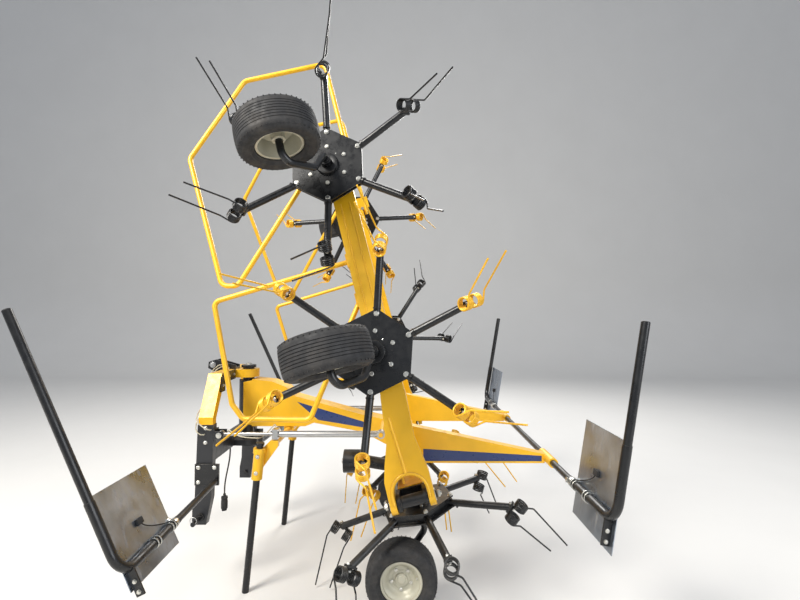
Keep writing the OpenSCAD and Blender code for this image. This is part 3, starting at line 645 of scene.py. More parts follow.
# Route of each rope, in the millimetres of the CAD source
ROPES = {
    "rope_1": [(-1195, -58, 1318), (-1195, -58, 1334), (-1210, -66, 1352), (-1236, -82, 1350),
        (-1261, -103, 1326), (-1276, -124, 1297), (-1281, -146, 1267), (-1278, -168, 1237),
        (-1274, -192, 1208), (-1268, -219, 1182), (-1260, -247, 1159), (-1251, -277, 1138),
        (-1245, -308, 1117), (-1242, -341, 1101), (-1240, -376, 1086), (-1236, -409, 1069),
        (-1228, -439, 1049), (-1205, -454, 1025), (-1174, -460, 1005), (-1148, -460, 992),
        (-1135, -450, 985), (-1135, -435, 985)],
    "rope_2": [(-1172, -62, 1318), (-1172, -62, 1330), (-1186, -76, 1342), (-1212, -104, 1340),
        (-1236, -128, 1322), (-1249, -146, 1292), (-1255, -166, 1260), (-1254, -188, 1226),
        (-1249, -212, 1192), (-1244, -242, 1160), (-1240, -278, 1128), (-1237, -312, 1101),
        (-1236, -341, 1079), (-1236, -366, 1058), (-1237, -392, 1038), (-1236, -420, 1018),
        (-1228, -446, 996), (-1212, -460, 974), (-1190, -462, 960), (-1175, -450, 956), (-1175, -435, 956)],
    "rope_3": [(-1040, -400, 961.3), (-1040, -400, 973), (-1024, -414, 974), (-1008, -422, 967),
        (-993, -426, 959), (-976, -428, 951), (-960, -429, 945), (-943, -429, 940), (-925, -427, 936),
        (-908, -424, 933), (-890, -420, 931), (-872, -416, 929), (-856, -410, 926), (-842, -398, 924),
        (-830, -384, 926), (-820, -370, 932), (-812, -361, 941), (-802, -356, 952), (-791, -354, 964),
        (-780, -354, 976), (-769, -356, 988), (-759, -364, 998), (-749, -378, 1004), (-742, -392, 1001),
        (-738, -402, 996)],
}


def make_ropes(cords):
    """Three laid strands round each rope's line."""
    radius = cords.rope_diameter / 2
    strand = radius * 0.54
    for name, route in ROPES.items():
        on_strut = name == "rope_3"
        points = machine_points(route)
        fine = finer(points, 6)
        shape = Shape()
        for lay in range(3):
            along, path = 0.0, []
            for i, (ahead, side) in enumerate(carried(fine)):
                if i:
                    along += (fine[i] - fine[i - 1]).length
                angle = math.tau * (along / cords.rope_lay + lay / 3)
                out = side * math.cos(angle) + ahead.cross(side) * math.sin(angle)
                path.append(fine[i] + out * (radius - strand))
            shape.tube(path, strand, 6)
        rope = shape.make(name, "pale_rope", "strut_rod_left" if on_strut else "headstock", 60)
        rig.replaces(rope, "strut_rope" if on_strut else "ropes")
        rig.cord(rope, exit=tuple(points[0]), length=path_length(points), diameter=cords.rope_diameter,
                far_end="knot" if on_strut else "object", stiffness="limp", lay="hanging",
                path=[tuple(p) for p in points])


def make_cable(cords):
    """Hanging cable with a ribbed boot and a plug on its end."""
    sway, top, drop, last = 18, 780, 318, 17
    points = []
    for i in range(last + 1):
        back = sway * (1 - math.cos(math.radians(12 * max(0, min(15, i - 1)))))
        points.append((-1140 - back, -100, top - drop * i / last))
    points = machine_points(points)
    shape = Shape()
    shape.tube(finer(points, 2), cords.cable_diameter / 2, 16)
    cable = shape.make("headstock_cable", "cable_rubber", "headstock", 60)
    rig.replaces(cable, "cable")
    plug = Shape()
    down = shift(*points[-1]) @ turned(180, "X")
    ribs = [(0.0085 + (0.0015 if i % 2 else 0), 0.002 + 0.0026 * i) for i in range(7)]
    shell = [(0.011, 0.0205), (0.0215, 0.0212), (0.022, 0.024), (0.022, 0.036), (0.0205, 0.038),
             (0.0205, 0.043), (0.022, 0.045), (0.022, 0.1), (0.0205, 0.1035), (0.017, 0.104),
             (0.017, 0.1155), (0.0135, 0.116), (0.013, 0.108), (0, 0.108)]
    plug.lathe([(0, 0), (0.0065, 0)] + ribs + shell, 40, down)
    for i in range(10):
        plug.block((-0.0015, 0.0205, 0.052), (0.0015, 0.0222, 0.092), down @ turned(36 * i, "Z"), 0.0005)
    for i in range(7):
        contact = down @ turned(360 * i / 6, "Z") @ shift(0.008 if i < 6 else 0, 0, 0)
        plug.lathe([(0, 0.1075), (0.0016, 0.1075), (0.0016, 0.1135), (0, 0.114)], 8, contact)
    body = plug.make("cable_plug_shell", "cable_rubber", "headstock", 40)
    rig.replaces(body, "cable_plug")
    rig.cord(cable, exit=tuple(points[0]), length=path_length(points), diameter=cords.cable_diameter,
            far_end="plug", stiffness="medium", lay="hanging", path=[tuple(p) for p in points],
            with_pieces=[body])


def make_leads(cords):
    """Short leads from the sockets on the boards into the bars."""
    for end, bar, lean, _, _, facing, body in LIGHT_BARS:
        near = facing * (BAR_R + 0.0003)
        corners = ((near - facing * 0.008, -0.256, 0.108), (near - facing * 0.012, -0.288, 0.06),
                   (-facing * 0.004, -0.4, 0.034), (0, -0.445, 0.015))
        for side, word in SIDES:
            post = bar_frame(side, bar, lean)
            line = [post @ p for p in bezier(corners, 20)]
            shape = Shape()
            shape.tube(line, cords.lead_diameter / 2, 12)
            lead = shape.make(f"board_lead_{end}_{word}", "cable_rubber", body)
            ends = Shape()
            box = post @ shift(near, -0.25, 0.122) @ turned(-90 * facing, "Y") @ turned(90, "Z")
            ends.block((-0.022, -0.014, 0), (0.022, 0.014, 0.014), box, 0.002)
            ends.lathe([(0, -0.006), (0.0075, -0.006), (0.0075, 0.004), (0.005, 0.01), (0, 0.01)], 20,
                       looking(line[-1], line[-2] - line[-1]))
            socket = ends.make(f"board_socket_{end}_{word}", "cable_rubber", body)
            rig.cord(lead, exit=tuple(line[0]), length=path_length(line), diameter=cords.lead_diameter,
                    far_end="object", stiffness="medium", lay="hanging", path=[tuple(p) for p in line],
                    with_pieces=[socket])


# Pieces

def dress_frame(_):
    """Gives every node of the frame the material of its slot."""
    for node, slot in SLOT_OF.items():
        materials = frame["nodes"][node].data.materials
        if not materials:
            materials.append(finish_of(slot))
        for index in range(len(materials)):
            materials[index] = finish_of(slot)


def tyre_profile(tyre):
    """Closed section of a tyre as (radius, place across), with its grooves cut into the tread."""
    half = [(0.1215, 0.0605), (0.121, 0.0683), (0.1256, 0.0696), (0.1281, 0.0719), (0.1312, 0.0766),
            (0.1383, 0.0815), (0.1395, 0.0829), (0.1424, 0.0831), (0.1434, 0.0826), (0.1505, 0.0846),
            (0.1607, 0.0857), (0.1729, 0.0857), (0.1741, 0.0846), (0.1751, 0.0857), (0.1831, 0.0834),
            (0.1892, 0.0794), (0.1902, 0.0777), (0.1917, 0.0771), (0.1963, 0.0709), (0.1999, 0.0641),
            (0.2019, 0.0594)]
    flat, crown, slope = 0.0568, 1.1, 0.0006
    pitch = 2 * flat / tyre.ribs
    tread = []
    for i in range(tyre.ribs):
        first, last = i == 0, i == tyre.ribs - 1
        start = flat - i * pitch - (0 if first else tyre.groove / 2)
        end = flat - (i + 1) * pitch + (0 if last else tyre.groove / 2)
        tread += [(TYRE_R - 0.0002 - crown * z * z, z) for z in (start, (start + end) / 2, end)]
        if not last:
            bottom = TYRE_R - tyre.depth - crown * end * end
            tread += [(bottom, end - slope), (bottom, end - tyre.groove + slope)]
    return half + tread + [(r, -z) for r, z in reversed(half)]


def make_tyres(tyre):
    """Tyres with lugs on both shoulders, those of one side set between those of the other."""
    section = tyre_profile(tyre)
    lugs = 48
    for side, k, name in STATIONS:
        shape = Shape()
        place = wheel_frame(side, k)
        shape.lathe(section, 144, place, closed=True)
        for i in range(lugs):
            for face, offset in ((-1, 0), (1, 0.5)):
                at = place @ turned(360 / lugs * (i + offset), "Z") @ shift(0.1959, 0, face * 0.0717)
                shape.block((-0.006, -0.0022, -0.003), (0.0045, 0.0022, 0.003),
                            at @ turned(-52 * face, "Y"), 0.0008)
        obj = shape.make(f"tyre_tread_{name}", "rubber", f"wheel_{name}", 32)
        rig.replaces(obj, f"tyre_{name}")


def make_rims(rim):
    """Dished rims with a hub cap, a valve and wheel bolts."""
    flange = [(0.106, 0.0611), (0.108, 0.0621), (0.117, 0.0621), (0.1192, 0.0613), (0.1196, 0.059),
              (0.1192, 0.0538), (0.115, 0.049), (0.114, 0.043)]
    disc = [(0.1052, -0.0559), (0.1052, 0.036), (0.104, 0.0385), (0.096, 0.036), (0.084, 0.023),
            (0.076, 0.0115), (0.07, 0.007), (0.062, 0.0058), (0.042, 0.006), (0.036, 0.004), (0.034, 0),
            (0.034, -0.0325), (0.0325, -0.034), (0.02, -0.034), (0.019, -0.032), (0.019, 0.027),
            (0.03, 0.028), (0.033, 0.027), (0.034, 0.024), (0.035, 0.015), (0.039, 0.013), (0.046, 0.0133),
            (0.048, 0.015), (0.052, 0.015), (0.054, 0.0132), (0.062, 0.013), (0.07, 0.0142),
            (0.076, 0.019), (0.084, 0.0305), (0.095, 0.044), (0.104, 0.0475), (0.1055, 0.05)]
    profile = flange + [(r, -z) for r, z in reversed(flange)] + disc
    cap = [(0, 0.0262), (0.025, 0.0262), (0.0245, 0.0285), (0.021, 0.0318), (0.012, 0.0338), (0, 0.034)]
    valve = [(0.088, 0, 0.03), (0.088, 0, 0.046), (0.089, 0, 0.056)]
    valve_cap = [(0, 0.0575), (0.0044, 0.056), (0.0044, 0.048), (0.0036, 0.0475)]
    for side, k, name in STATIONS:
        place = wheel_frame(side, k)
        shape = Shape()
        shape.lathe(profile[::-1], 96, place, closed=True)
        shape.lathe(cap, 40, place)
        shape.tube(valve, [0.0042, 0.004, 0.003], 12, place)
        obj = shape.make(f"rim_disc_{name}", "rim_paint", f"wheel_{name}", 30)
        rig.replaces(obj, f"rim_{name}")
        bolts = Shape()
        for i in range(rim.bolts):
            bolts.bolt(place @ turned(360 * i / rim.bolts + 36, "Z") @ shift(0.058, 0, 0.013), 0.009)
        bolts.lathe(valve_cap, 10, place @ shift(0.0888, 0, 0))
        bolts.make(f"rim_bolts_{name}", "zinc", f"wheel_{name}", 30)


def tine_path(tine, hand):
    """Centre line of one tine in its coil frame, from the long finger's tip to the short one's."""
    coil_r, wire = tine.coil_radius, tine.wire / 2
    knee_out, knee_r, tip_side = 0.06, 0.028, 0.104
    turn = math.radians(40)
    whole = math.radians(140 + 360 * (tine.turns - 1))
    steps = 20 * tine.turns
    half = []
    for sign, reach, tip_z in ((1, tine.long_reach, -0.023), (-1, tine.short_reach, -0.111)):
        outer, inner = sign * (COIL_GAP / 2 + COIL_LENGTH - wire), sign * (COIL_GAP / 2 + wire)
        start = Vector((coil_r * math.cos(turn), hand * coil_r * math.sin(turn), outer))
        knee = start + Vector((math.sin(turn), -hand * math.cos(turn), 0)) * knee_out
        tip = Vector((reach, -hand * tip_side, tip_z))
        line = rounded([tip, knee, start], knee_r, 5)[:-1]
        for i in range(steps):
            t = i / steps
            a = turn + whole * t
            z = outer + (inner - outer) * t
            line.append(Vector((coil_r * math.cos(a), hand * coil_r * math.sin(a), z)))
        half.append(line)
    bar = [Vector((-coil_r, 0, sign * 0.01)) for sign in (1, -1)]
    return half[0] + bar + half[1][::-1]


def make_tines(tine):
    """Six wound tines a rotor, in the paint that the frame's record gives them."""
    for side, k, name in STATIONS:
        shape = Shape()
        path = tine_path(tine, ROTORS[k][1])
        for i in range(6):
            shape.tube(path, tine.wire / 2, 8, coil_frame(side, k, i))
        obj = shape.make(f"tine_wires_{name}", SLOT_OF[f"tines_{name}"], f"rotor_body_{name}", 50)
        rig.replaces(obj, f"tines_{name}")


def make_rotor_details(rotor):
    """Corner bolts of the plates, the inner ring, the saddles and bolts that hold the tines."""
    collar = [(0.0203, -0.004), (0.0225, -0.0035), (0.0225, 0.0035), (0.0203, 0.004)]
    inner_ring = [(0.0306, -0.0002), (0.0306, -0.02), (0.036, -0.022), (0.06, -0.02),
                  (0.064, -0.015), (0.066, -0.0002)]
    nipple = [(0, 0.066), (0.0035, 0.066), (0.0035, 0.0705), (0.0022, 0.072), (0.0022, 0.0745), (0, 0.075)]
    under = turned(180, "X")
    for side, k, name in STATIONS:
        bright, dark = Shape(), Shape()
        for i in range(6):
            arm, coil = arm_frame(side, k, i), coil_frame(side, k, i)
            corner = arm @ shift(rotor.corner_radius, 0, 0)
            bright.bolt(corner @ under, rotor.bolt)
            bright.bolt(corner @ shift(0, 0, HUB_H), rotor.bolt, stub=True)
            bright.bolt(arm @ shift(0.112, 0, 0) @ under, rotor.bolt * 0.8)
            bright.bolt(arm @ shift(0.105, 0, HUB_H), rotor.bolt * 0.7)
            dark.block((-0.0335, -0.017, -0.0125), (-0.0265, 0.017, 0.0125), coil, 0.0015)
            bright.bolt(coil @ shift(-0.0265, 0, 0) @ turned(90, "Y"), 0.0095)
            bright.bolt(coil @ shift(-0.0504, 0, 0.021) @ turned(-90, "Y"), 0.0085, stub=True)
            dark.lathe(collar, 28, arm @ shift(0.236, 0, 0.0047) @ turned(103.7, "Y"), closed=True)
        base = station(side, k)
        dark.lathe(inner_ring, 48, base, closed=True)
        bright.lathe(nipple, 10, base @ turned(40, "Z") @ shift(0.0775, 0, 0) @ turned(90, "Y")
                     @ shift(0, 0, -0.066))
        bright.make(f"rotor_bolts_{name}", "zinc", f"rotor_body_{name}")
        dark.make(f"rotor_clamps_{name}", "black_paint", f"rotor_body_{name}")


def make_beam_details(beam):
    """Pressed beads along the wing beams, gearbox bolts and caps, and hinge pins."""
    half = BEAM_H / 2
    sunk, ramp = 0.0035, 0.02
    gearbox_cap = [(0.062, 0), (0.062, 0.008), (0.056, 0.014), (0.02, 0.017), (0, 0.017)]
    for side, word in SIDES:
        place = wing_frame(side)
        bead, bolts, dark = Shape(), Shape(), Shape()
        for face in (-1, 1):
            for x in (BEAM_BACK - 0.027, BEAM_BACK + 0.027):
                for low, high in ((0.6, 0.7), (0.87, 1.7), (1.98, WING_LEN - 0.14)):
                    bead.tube([(x, low, face * (half - sunk)), (x, low + ramp, face * half),
                               (x, high - ramp, face * half), (x, high, face * (half - sunk))],
                              beam.bead, 12, place)
        for k in (1, 2):
            at = place @ shift(0, k * PITCH - HINGE_OUT, 0)
            for x, y in ((-0.03, 0.062), (-0.03, -0.062), (0.1, 0.062), (0.1, -0.062)):
                bolts.bolt(at @ shift(x, y, half))
            for a in range(4):
                flange = at @ turned(90 * a, "Z") @ shift(0.083, 0, -half - 0.014)
                bolts.bolt(flange @ turned(180, "X"), 0.01)
            dark.lathe(gearbox_cap, 40, at @ shift(0, 0, half))
        for face in (-1, 1):
            pin = place @ shift(face * (MOUTH_R + EAR_T), 0, 0) @ turned(90 * face, "Y")
            bolts.drum(0.032, 0, 0.004, 32, pin)
            bolts.bolt(pin @ shift(0, 0, 0.0165), 0.02, washer=False, stub=True)
        bead.make(f"beam_beads_{word}", "yellow_paint", f"wing_{word}")
        bolts.make(f"beam_bolts_{word}", "zinc", f"wing_{word}")
        dark.make(f"beam_caps_{word}", "black_paint", f"wing_{word}")


def make_light_bar_details(lights):
    """Sleeves and clamps on the light bars, plugs in the posts' ends, and what holds the boards."""
    band = [(BAR_R + 0.003, -0.012), (BAR_R + 0.0065, -0.012), (BAR_R + 0.0072, 0.0),
            (BAR_R + 0.0065, 0.012), (BAR_R + 0.003, 0.012)]
    plug = [(0, -0.001), (BAR_R * 0.93, -0.001), (BAR_R * 0.93, 0.0015), (BAR_R * 0.8, 0.0035), (0, 0.0042)]
    hook_r = BAR_R + 0.0055
    for end, bar, lean, rise, inner, facing, body in LIGHT_BARS:
        sleeves, bands, holds = Shape(), Shape(), Shape()
        foot = Vector(bar)
        run = (Vector(inner) - foot).normalized()
        up = turned(lean, "Y") @ Vector((0, 0, 1))
        half = run.angle(up) / 2
        centre = foot + (run + up).normalized() * (BEND_R / math.sin(half))
        start, stop = (foot + way * (BEND_R / math.tan(half)) - centre for way in (up, run))
        bow = [centre + start.lerp(stop, i / 12).normalized() * BEND_R for i in range(13)]
        for side, _ in SIDES:
            place, post = MACHINE @ sided(side), post_frame(side, bar, lean)
            sleeves.tube([foot + up * 0.32] + bow + [foot + run * 0.5], BAR_R + lights.sleeve, 24, place)
            sleeves.lathe(plug, 32, post @ shift(0, 0, rise / math.cos(math.radians(lean))))
            clamp = place @ looking(foot + run * 0.455, run)
            bands.lathe(band, 32, clamp, closed=True)
            lug = clamp @ turned(60, "Z")
            bands.block((-0.008, BAR_R + 0.004, -0.01), (0.008, BAR_R + 0.022, 0.01), lug, 0.001)
            bands.bolt(lug @ shift(-0.008, BAR_R + 0.014, 0) @ turned(-90, "Y"), 0.0065, stub=True)
            for z in (-0.1, -0.055):
                bands.bolt(post @ shift(0, -0.056, z) @ turned(-90, "X"), 0.008)
                bands.bolt(post @ shift(0, -0.064, z) @ turned(90, "X"), 0.007, stub=True)
            # Hooked bolts round the bar that hold the board
            along = bar_frame(side, bar, lean)
            for y in (-0.27, -0.42):
                hold = along @ shift(0, y, 0) @ turned(-90, "X") @ turned(90 * facing, "Z")
                for z in (-0.013, 0.013):
                    hook = [(hook_r, -BAR_R, z), *arc(hook_r, z, range(0, 181, 15)), (-hook_r, -BAR_R, z)]
                    holds.tube(hook, 0.003, 10, hold)
                    for x in (-hook_r, hook_r):
                        holds.bolt(hold @ shift(x, -BAR_R - 0.0033, z) @ turned(90, "X"), 0.008)
        holds.make(f"board_clamps_{end}", "zinc", body)
        sleeves.make(f"light_sleeves_{end}", "black_paint", body)
        bands.make(f"light_bands_{end}", "zinc", body)


def make_stripes(bands):
    """Plain blue bands on the sides of the hitch beam and of the rear beams."""
    hitch = ((-0.68, 1.092), (-0.185, 0.946), (-0.185, 0.908), (-0.53, 0.965))
    rear = ((0.19, 0.836), (0.893, 0.836), (0.893, 0.868), (0.19, 0.908))
    for name, y, outline in (("hitch", 0.0752, hitch), ("rear", 0.5712, rear)):
        band = Shape()
        for side, _ in SIDES:
            place = MACHINE @ sided(side) @ shift(0, y, 0) @ turned(90, "X")
            band.prism(outline, -bands.thickness, bands.thickness, place)
        band.make(f"blue_bands_{name}", "blue_paint", "frame")


def make_hitch_details(hitch):
    """Pins, bolts and covers of the headstock, the stands and the struts."""
    bright, dark, stand_bolts, pins = Shape(), Shape(), Shape(), Shape()
    out = turned(-90, "X")
    strut_cap = [(0, 0.038), (0.018, 0.038), (0.018, 0.043), (0, 0.045)]
    knob = [(0, 0), (0.01, 0), (0.01, 0.012), (0.004, 0.014), (0.004, 0.03), (0, 0.031)]
    linch_r = 0.02
    for side, _ in SIDES:
        place = MACHINE @ sided(side)
        for x, z in ((-1.205, 0.665), (-1.105, 0.665), (-1.205, 0.755), (-1.105, 0.755)):
            bright.bolt(place @ shift(x, LINK_HALF + 0.0395, z) @ out, hitch.bolt)
        for z in (0.905, 0.995):
            bright.bolt(place @ shift(LEG_X, LEG_SIDE, z) @ out, hitch.bolt)
        dark.block((LEG_FRONT - 0.008, 0.075, 1.256), (LEG_FRONT, 0.29, 1.322), place)
        dark.block((LEG_FRONT - 0.008, 0.262, 1.2), (LEG_FRONT, 0.33, 1.3), place)
        for y, z in ((0.11, 1.29), (0.2, 1.29), (0.3, 1.24)):
            bright.bolt(place @ shift(LEG_FRONT, y, z) @ turned(90, "Y"), hitch.bolt * 0.8)
        pin = place @ shift(-1.085, STRUT_Y, STRUT_Z) @ out
        bright.drum(0.0086, -0.038, 0.038, 24, pin)
        bright.lathe(strut_cap, 24, pin)
        ring = arc(linch_r, 0, range(-90, 270, 20))
        ring = [(-1.196 + x, LINK_HALF + 0.118, LINK_Z + linch_r + z) for x, z, _ in ring]
        pins.tube(ring + [ring[0]], 0.002, 8, place)
        stand = place @ shift(-0.902, 0, 0) @ turned(5.2, "Y") @ shift(0, 0.452, 0)
        for z in (0.735, 0.835):
            stand_bolts.bolt(stand @ shift(0, 0.033, z) @ out, hitch.bolt, stub=True)
        stand_bolts.lathe(knob, 20, stand @ shift(0, -0.033, 0.79) @ turned(90, "X"))
    top = MACHINE @ shift(-1.295, 0, 1.35) @ out
    pins.drum(0.012, -0.056, 0.056, 24, top)
    for half_turn in (180, 0):
        pins.drum(0.021, 0.0435, 0.0475, 24, top @ turned(half_turn, "X"))
    bright.bolt(MACHINE @ shift(PIVOT_X, 0, 1.345), 0.02)
    bright.make("headstock_bolts", "zinc", "headstock")
    dark.make("arch_covers", "black_paint", "headstock")
    pins.make("hitch_pins", "bare_metal", "headstock")
    stand_bolts.make("stand_bolts", "zinc", "frame")


def make_floor():
    """Floor that turns up into a wall behind the machine, in one curve."""
    half_width, front, back, bend, wall, steps = 26, -9.0, 9.0, 3.0, 13.0, 14
    line = [(front, 0.0), (back, 0.0)]
    for i in range(1, steps + 1):
        a = math.radians(90 * i / steps)
        line.append((back + bend * math.sin(a), bend * (1 - math.cos(a))))
    line.append((back + bend, wall))
    floor = bpy.data.meshes.new("floor")
    bm = bmesh.new()
    rows = [[bm.verts.new((x, y, z)) for x in (-half_width, half_width)] for y, z in line]
    for a, b in zip(rows, rows[1:]):
        bm.faces.new((a[0], a[1], b[1], b[0])).smooth = True
    bm.to_mesh(floor)
    bm.free()
    g = Graph("studio_floor")
    g.surface(Base_Color=g.mix(g.noise(0.9, 3), (0.62, 0.61, 0.59, 1), (0.66, 0.65, 0.63, 1)),
              Roughness=g.step(g.noise(5, 3), 0.3, 0.7, 0.8, 0.9))
    floor.materials.append(g.material)
    return bpy.data.objects.new("floor", floor)


def make_stage(stage):
    """Floor, three soft lights that look at the machine, and the light from all round."""
    scene = bpy.context.scene
    floor = make_floor()
    scene.collection.objects.link(floor)
    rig.stage(floor)
    target = Vector((0, 0, 1.3))
    for name, place, size, power, colour in (
            ("key", (-4.2, -4.6, 6.4), 3.2, stage.key, (1.0, 0.965, 0.9)),
            ("fill", (5.2, -5.2, 3.2), 5.0, stage.fill, (0.93, 0.96, 1.0)),
            ("rim", (1.5, 5.5, 6.0), 4.0, stage.rim, (1.0, 0.98, 0.95))):
        data = bpy.data.lights.new(name, "AREA")
        data.shape = "DISK"
        data.size = size
        data.energy = power
        data.color = colour
        light = bpy.data.objects.new(name, data)
        light.location = place
        light.rotation_euler = (target - Vector(place)).to_track_quat("-Z", "Y").to_euler()
        scene.collection.objects.link(light)
    world = bpy.data.worlds.new("studio")
    world.use_nodes = True
    back = world.node_tree.nodes["Background"]
    back.inputs["Color"].default_value = (0.86, 0.91, 1.0, 1)
    back.inputs["Strength"].default_value = stage.sky
    scene.world = world
    scene.view_settings.view_transform = "Standard"


# Settings

def Number(name, about, default, low, high, kind=FloatProperty, **more):
    """A setting with its range."""
    return kind(name=name, description=about, default=default, min=low, max=high, **more)


Count = partial(Number, kind=IntProperty)
Length = partial(Number, unit="LENGTH")
Power = partial(Number, low=0, high=5000, unit="POWER")
Share = partial(Number, low=0, high=1, subtype="FACTOR")
Colour = partial(Number, low=0, high=1, kind=FloatVectorProperty, size=3, subtype="COLOR")


class TedderCamera(PropertyGroup):
    """Camera at the photograph's viewing angle"""
    location: FloatVectorProperty(name="Location", description="Place of the camera", unit="LENGTH",
                                  subtype="TRANSLATION", default=(0.0654 + OX, -3.2797, 1.6953))
    lens: Number("Lens", "Focal length on a 36 mm wide sensor, in millimetres", 20.2365, 8, 200)
    pitch: Number("Pitch", "Tilt above the horizon, in degrees", 2.097, -60, 60)
    heading: Number("Heading", "Turn to the left of +Y, in degrees", 0.298, -180, 180)


class TedderCords(PropertyGroup):
    """Ropes, cable and leads"""
    rope_diameter: Length("Rope diameter", "Diameter of the laid ropes", 0.008, 0.004, 0.02)
    rope_lay: Length("Rope lay", "Length of one turn of a strand", 0.034, 0.01, 0.1)
    lead_diameter: Length("Lead diameter", "Diameter of the boards' leads", 0.006, 0.003, 0.01)
    cable_diameter: Length("Cable diameter", "Diameter of the hanging cable", 0.010, 0.004, 0.02)


class TedderPaint(PropertyGroup):
    """Colours and wear of the finishes"""
    yellow: Colour("Yellow", "Paint of frame and beams", (0.86, 0.47, 0.010))
    black: Colour("Black", "Paint of rotors and gearboxes", (0.006, 0.0065, 0.0075))
    grey: Colour("Grey", "Paint of the headstock's legs", (0.017, 0.018, 0.021))
    rim: Colour("Rims", "Paint of the wheel rims", (0.50, 0.48, 0.38))
    wear: Share("Wear", "Chips and rubbed edges", 0.55)
    dust: Share("Dust", "Dust on what looks up", 0.34)


class TedderTyre(PropertyGroup):
    """Tread of the tyres"""
    ribs: Count("Ribs", "Ribs round the tread", 8, 3, 12)
    groove: Length("Groove", "Width of a groove", 0.0032, 0.001, 0.01)
    depth: Length("Depth", "Depth of a groove", 0.006, 0.001, 0.012)


class TedderRim(PropertyGroup):
    """Wheel rims"""
    bolts: Count("Bolts", "Bolts round the hub", 5, 0, 8)


class TedderTine(PropertyGroup):
    """Spring tines"""
    wire: Length("Wire", "Diameter of the wire", 0.0095, 0.006, 0.012)
    turns: Count("Turns", "Turns in each coil", 5, 3, 5)
    coil_radius: Length("Coil radius", "Mean radius of a coil", 0.033, 0.025, 0.04)
    long_reach: Length("Long finger", "Reach of the long finger's tip", 0.335, 0.2, 0.335)
    short_reach: Length("Short finger", "Reach of the short finger's tip", 0.288, 0.2, 0.288)


class TedderRotor(PropertyGroup):
    """Bolts and clamps of the rotors"""
    bolt: Length("Bolt", "Size of a corner bolt", 0.013, 0.006, 0.02)
    corner_radius: Length("Corner radius", "From the corner bolts to the axis", 0.205, 0.15, 0.215)


class TedderBeam(PropertyGroup):
    """Wing beams"""
    bead: Length("Bead", "Radius of the pressed beads", 0.005, 0.002, 0.01)


class TedderBands(PropertyGroup):
    """Plain blue bands on the sides of the frame"""
    thickness: Length("Thickness", "Half the thickness of a band", 0.0004, 0.0002, 0.001)


class TedderHitch(PropertyGroup):
    """Pins and bolts of headstock and stands"""
    bolt: Length("Bolt", "Size of a bolt", 0.011, 0.006, 0.018)


class TedderLights(PropertyGroup):
    """Light bars and boards"""
    sleeve: Length("Sleeve", "How far the sleeves stand out from the bars", 0.0024, 0.001, 0.0029)


class TedderStage(PropertyGroup):
    """Studio floor and lights"""
    key: Power("Key", "Power of the key light", 900)
    fill: Power("Fill", "Power of the fill light", 260)
    rim: Power("Rim", "Power of the rear light", 420)
    sky: Number("Sky", "Strength of the light from all round", 0.55, 0, 3)


GROUPS = (("camera", TedderCamera), ("cords", TedderCords), ("paint", TedderPaint), ("tyre", TedderTyre),
          ("rim", TedderRim), ("tine", TedderTine), ("rotor", TedderRotor), ("beam", TedderBeam),
          ("bands", TedderBands), ("hitch", TedderHitch), ("lights", TedderLights), ("stage", TedderStage))


# Operators

class TedderStep:
    """Shared by the operators: builds pieces from one group of settings."""
    bl_options = {"REGISTER", "UNDO"}
    group = ""
    steps = ()

    def execute(self, context):
        settings = getattr(context.scene, f"tedder_{self.group}")
        try:
            for step in self.steps:
                step(settings)
        except (KeyError, ValueError, RuntimeError) as problem:
            self.report({"ERROR"}, f"{self.bl_label}: {problem}")
            raise
        return {"FINISHED"}


class TEDDER_OT_camera(TedderStep, Operator):
    """Place the camera where the photograph was taken from"""
    bl_idname = "tedder.camera"
    bl_label = "Place Camera"
    group = "camera"
    steps = (place_camera,)


class TEDDER_OT_cords(TedderStep, Operator):
    """Lay the ropes, hang the cable with its plug and the boards' leads"""
    bl_idname = "tedder.cords"
    bl_label = "Lay Ropes and Cable"
    group = "cords"
    steps = (make_ropes, make_cable, make_leads)


class TEDDER_OT_paint(TedderStep, Operator):
    """Give every node of the frame its finish"""
    bl_idname = "tedder.paint"
    bl_label = "Paint Frame"
    group = "paint"
    steps = (dress_frame,)


class TEDDER_OT_tyres(TedderStep, Operator):
    """Build the ribbed tyres"""
    bl_idname = "tedder.tyres"
    bl_label = "Build Tyres"
    group = "tyre"
    steps = (make_tyres,)


class TEDDER_OT_rims(TedderStep, Operator):
    """Build the dished rims with their bolts and valves"""
    bl_idname = "tedder.rims"
    bl_label = "Build Rims"
    group = "rim"
    steps = (make_rims,)


class TEDDER_OT_tines(TedderStep, Operator):
    """Wind the spring tines"""
    bl_idname = "tedder.tines"
    bl_label = "Wind Tines"
    group = "tine"
    steps = (make_tines,)


class TEDDER_OT_rotors(TedderStep, Operator):
    """Add the bolts, saddles and clamps of the rotors"""
    bl_idname = "tedder.rotors"
    bl_label = "Fit Rotors"
    group = "rotor"
    steps = (make_rotor_details,)


class TEDDER_OT_beams(TedderStep, Operator):
    """Add the beads, pins and bolts of the wing beams"""
    bl_idname = "tedder.beams"
    bl_label = "Fit Beams"
    group = "beam"
    steps = (make_beam_details,)


class TEDDER_OT_bands(TedderStep, Operator):
    """Lay the plain blue bands on the beams' sides"""
    bl_idname = "tedder.bands"
    bl_label = "Lay Bands"
    group = "bands"
    steps = (make_stripes,)


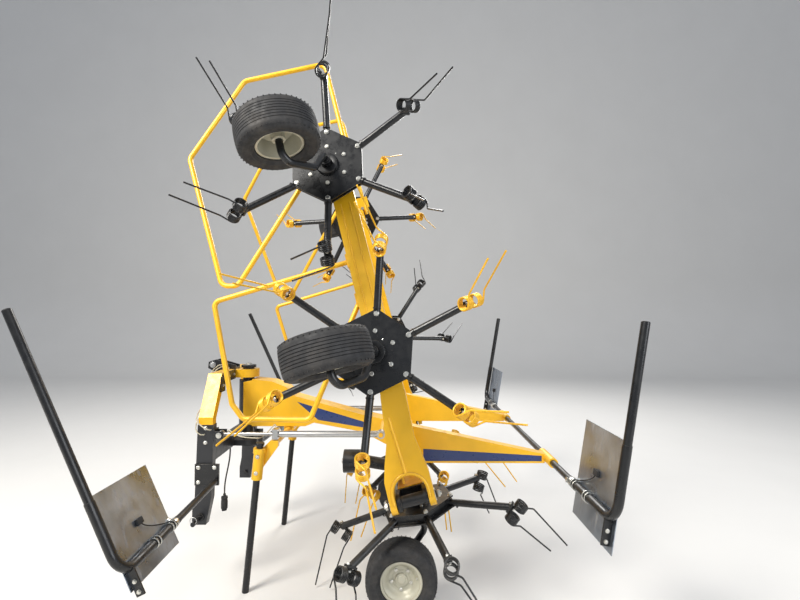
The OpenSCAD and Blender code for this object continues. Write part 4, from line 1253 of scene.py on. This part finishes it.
class TEDDER_OT_hitch(TedderStep, Operator):
    """Add the pins, bolts and covers of headstock and stands"""
    bl_idname = "tedder.hitch"
    bl_label = "Fit Hitch"
    group = "hitch"
    steps = (make_hitch_details,)


class TEDDER_OT_lights(TedderStep, Operator):
    """Add the sleeves, clamps and board bolts of the light bars"""
    bl_idname = "tedder.lights"
    bl_label = "Fit Light Bars"
    group = "lights"
    steps = (make_light_bar_details,)


class TEDDER_OT_stage(TedderStep, Operator):
    """Lay the floor and set the lights"""
    bl_idname = "tedder.stage"
    bl_label = "Set Stage"
    group = "stage"
    steps = (make_stage,)


OPERATORS = (TEDDER_OT_camera, TEDDER_OT_cords, TEDDER_OT_paint, TEDDER_OT_tyres, TEDDER_OT_rims,
             TEDDER_OT_tines, TEDDER_OT_rotors, TEDDER_OT_beams, TEDDER_OT_bands, TEDDER_OT_hitch,
             TEDDER_OT_lights, TEDDER_OT_stage)


class TEDDER_PT_panel(Panel):
    """Settings and steps of the tedder's look"""
    bl_idname = "TEDDER_PT_panel"
    bl_label = "Hay Tedder"
    bl_space_type = "VIEW_3D"
    bl_region_type = "UI"
    bl_category = "Tedder"

    def draw(self, context):
        for operator in OPERATORS:
            box = self.layout.box()
            settings = getattr(context.scene, f"tedder_{operator.group}")
            for name in settings.bl_rna.properties.keys():
                if name not in ("rna_type", "name"):
                    box.prop(settings, name)
            box.operator(operator.bl_idname)


def register():
    for name, group in GROUPS:
        bpy.utils.register_class(group)
        setattr(bpy.types.Scene, f"tedder_{name}", PointerProperty(type=group))
    for kind in (*OPERATORS, TEDDER_PT_panel):
        bpy.utils.register_class(kind)


def unregister():
    for kind in reversed((*OPERATORS, TEDDER_PT_panel)):
        bpy.utils.unregister_class(kind)
    for name, group in reversed(GROUPS):
        delattr(bpy.types.Scene, f"tedder_{name}")
        bpy.utils.unregister_class(group)


def main():
    register()
    for operator in OPERATORS:
        family, name = operator.bl_idname.split(".")
        getattr(getattr(bpy.ops, family), name)()
    with open("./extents.json", "w") as size_file:
        json.dump({"cad": [list(corner) for corner in CAD_BOX],
                   "visual": [list(corner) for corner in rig.bounds()]}, size_file)


if __name__ == "__main__":
    main()
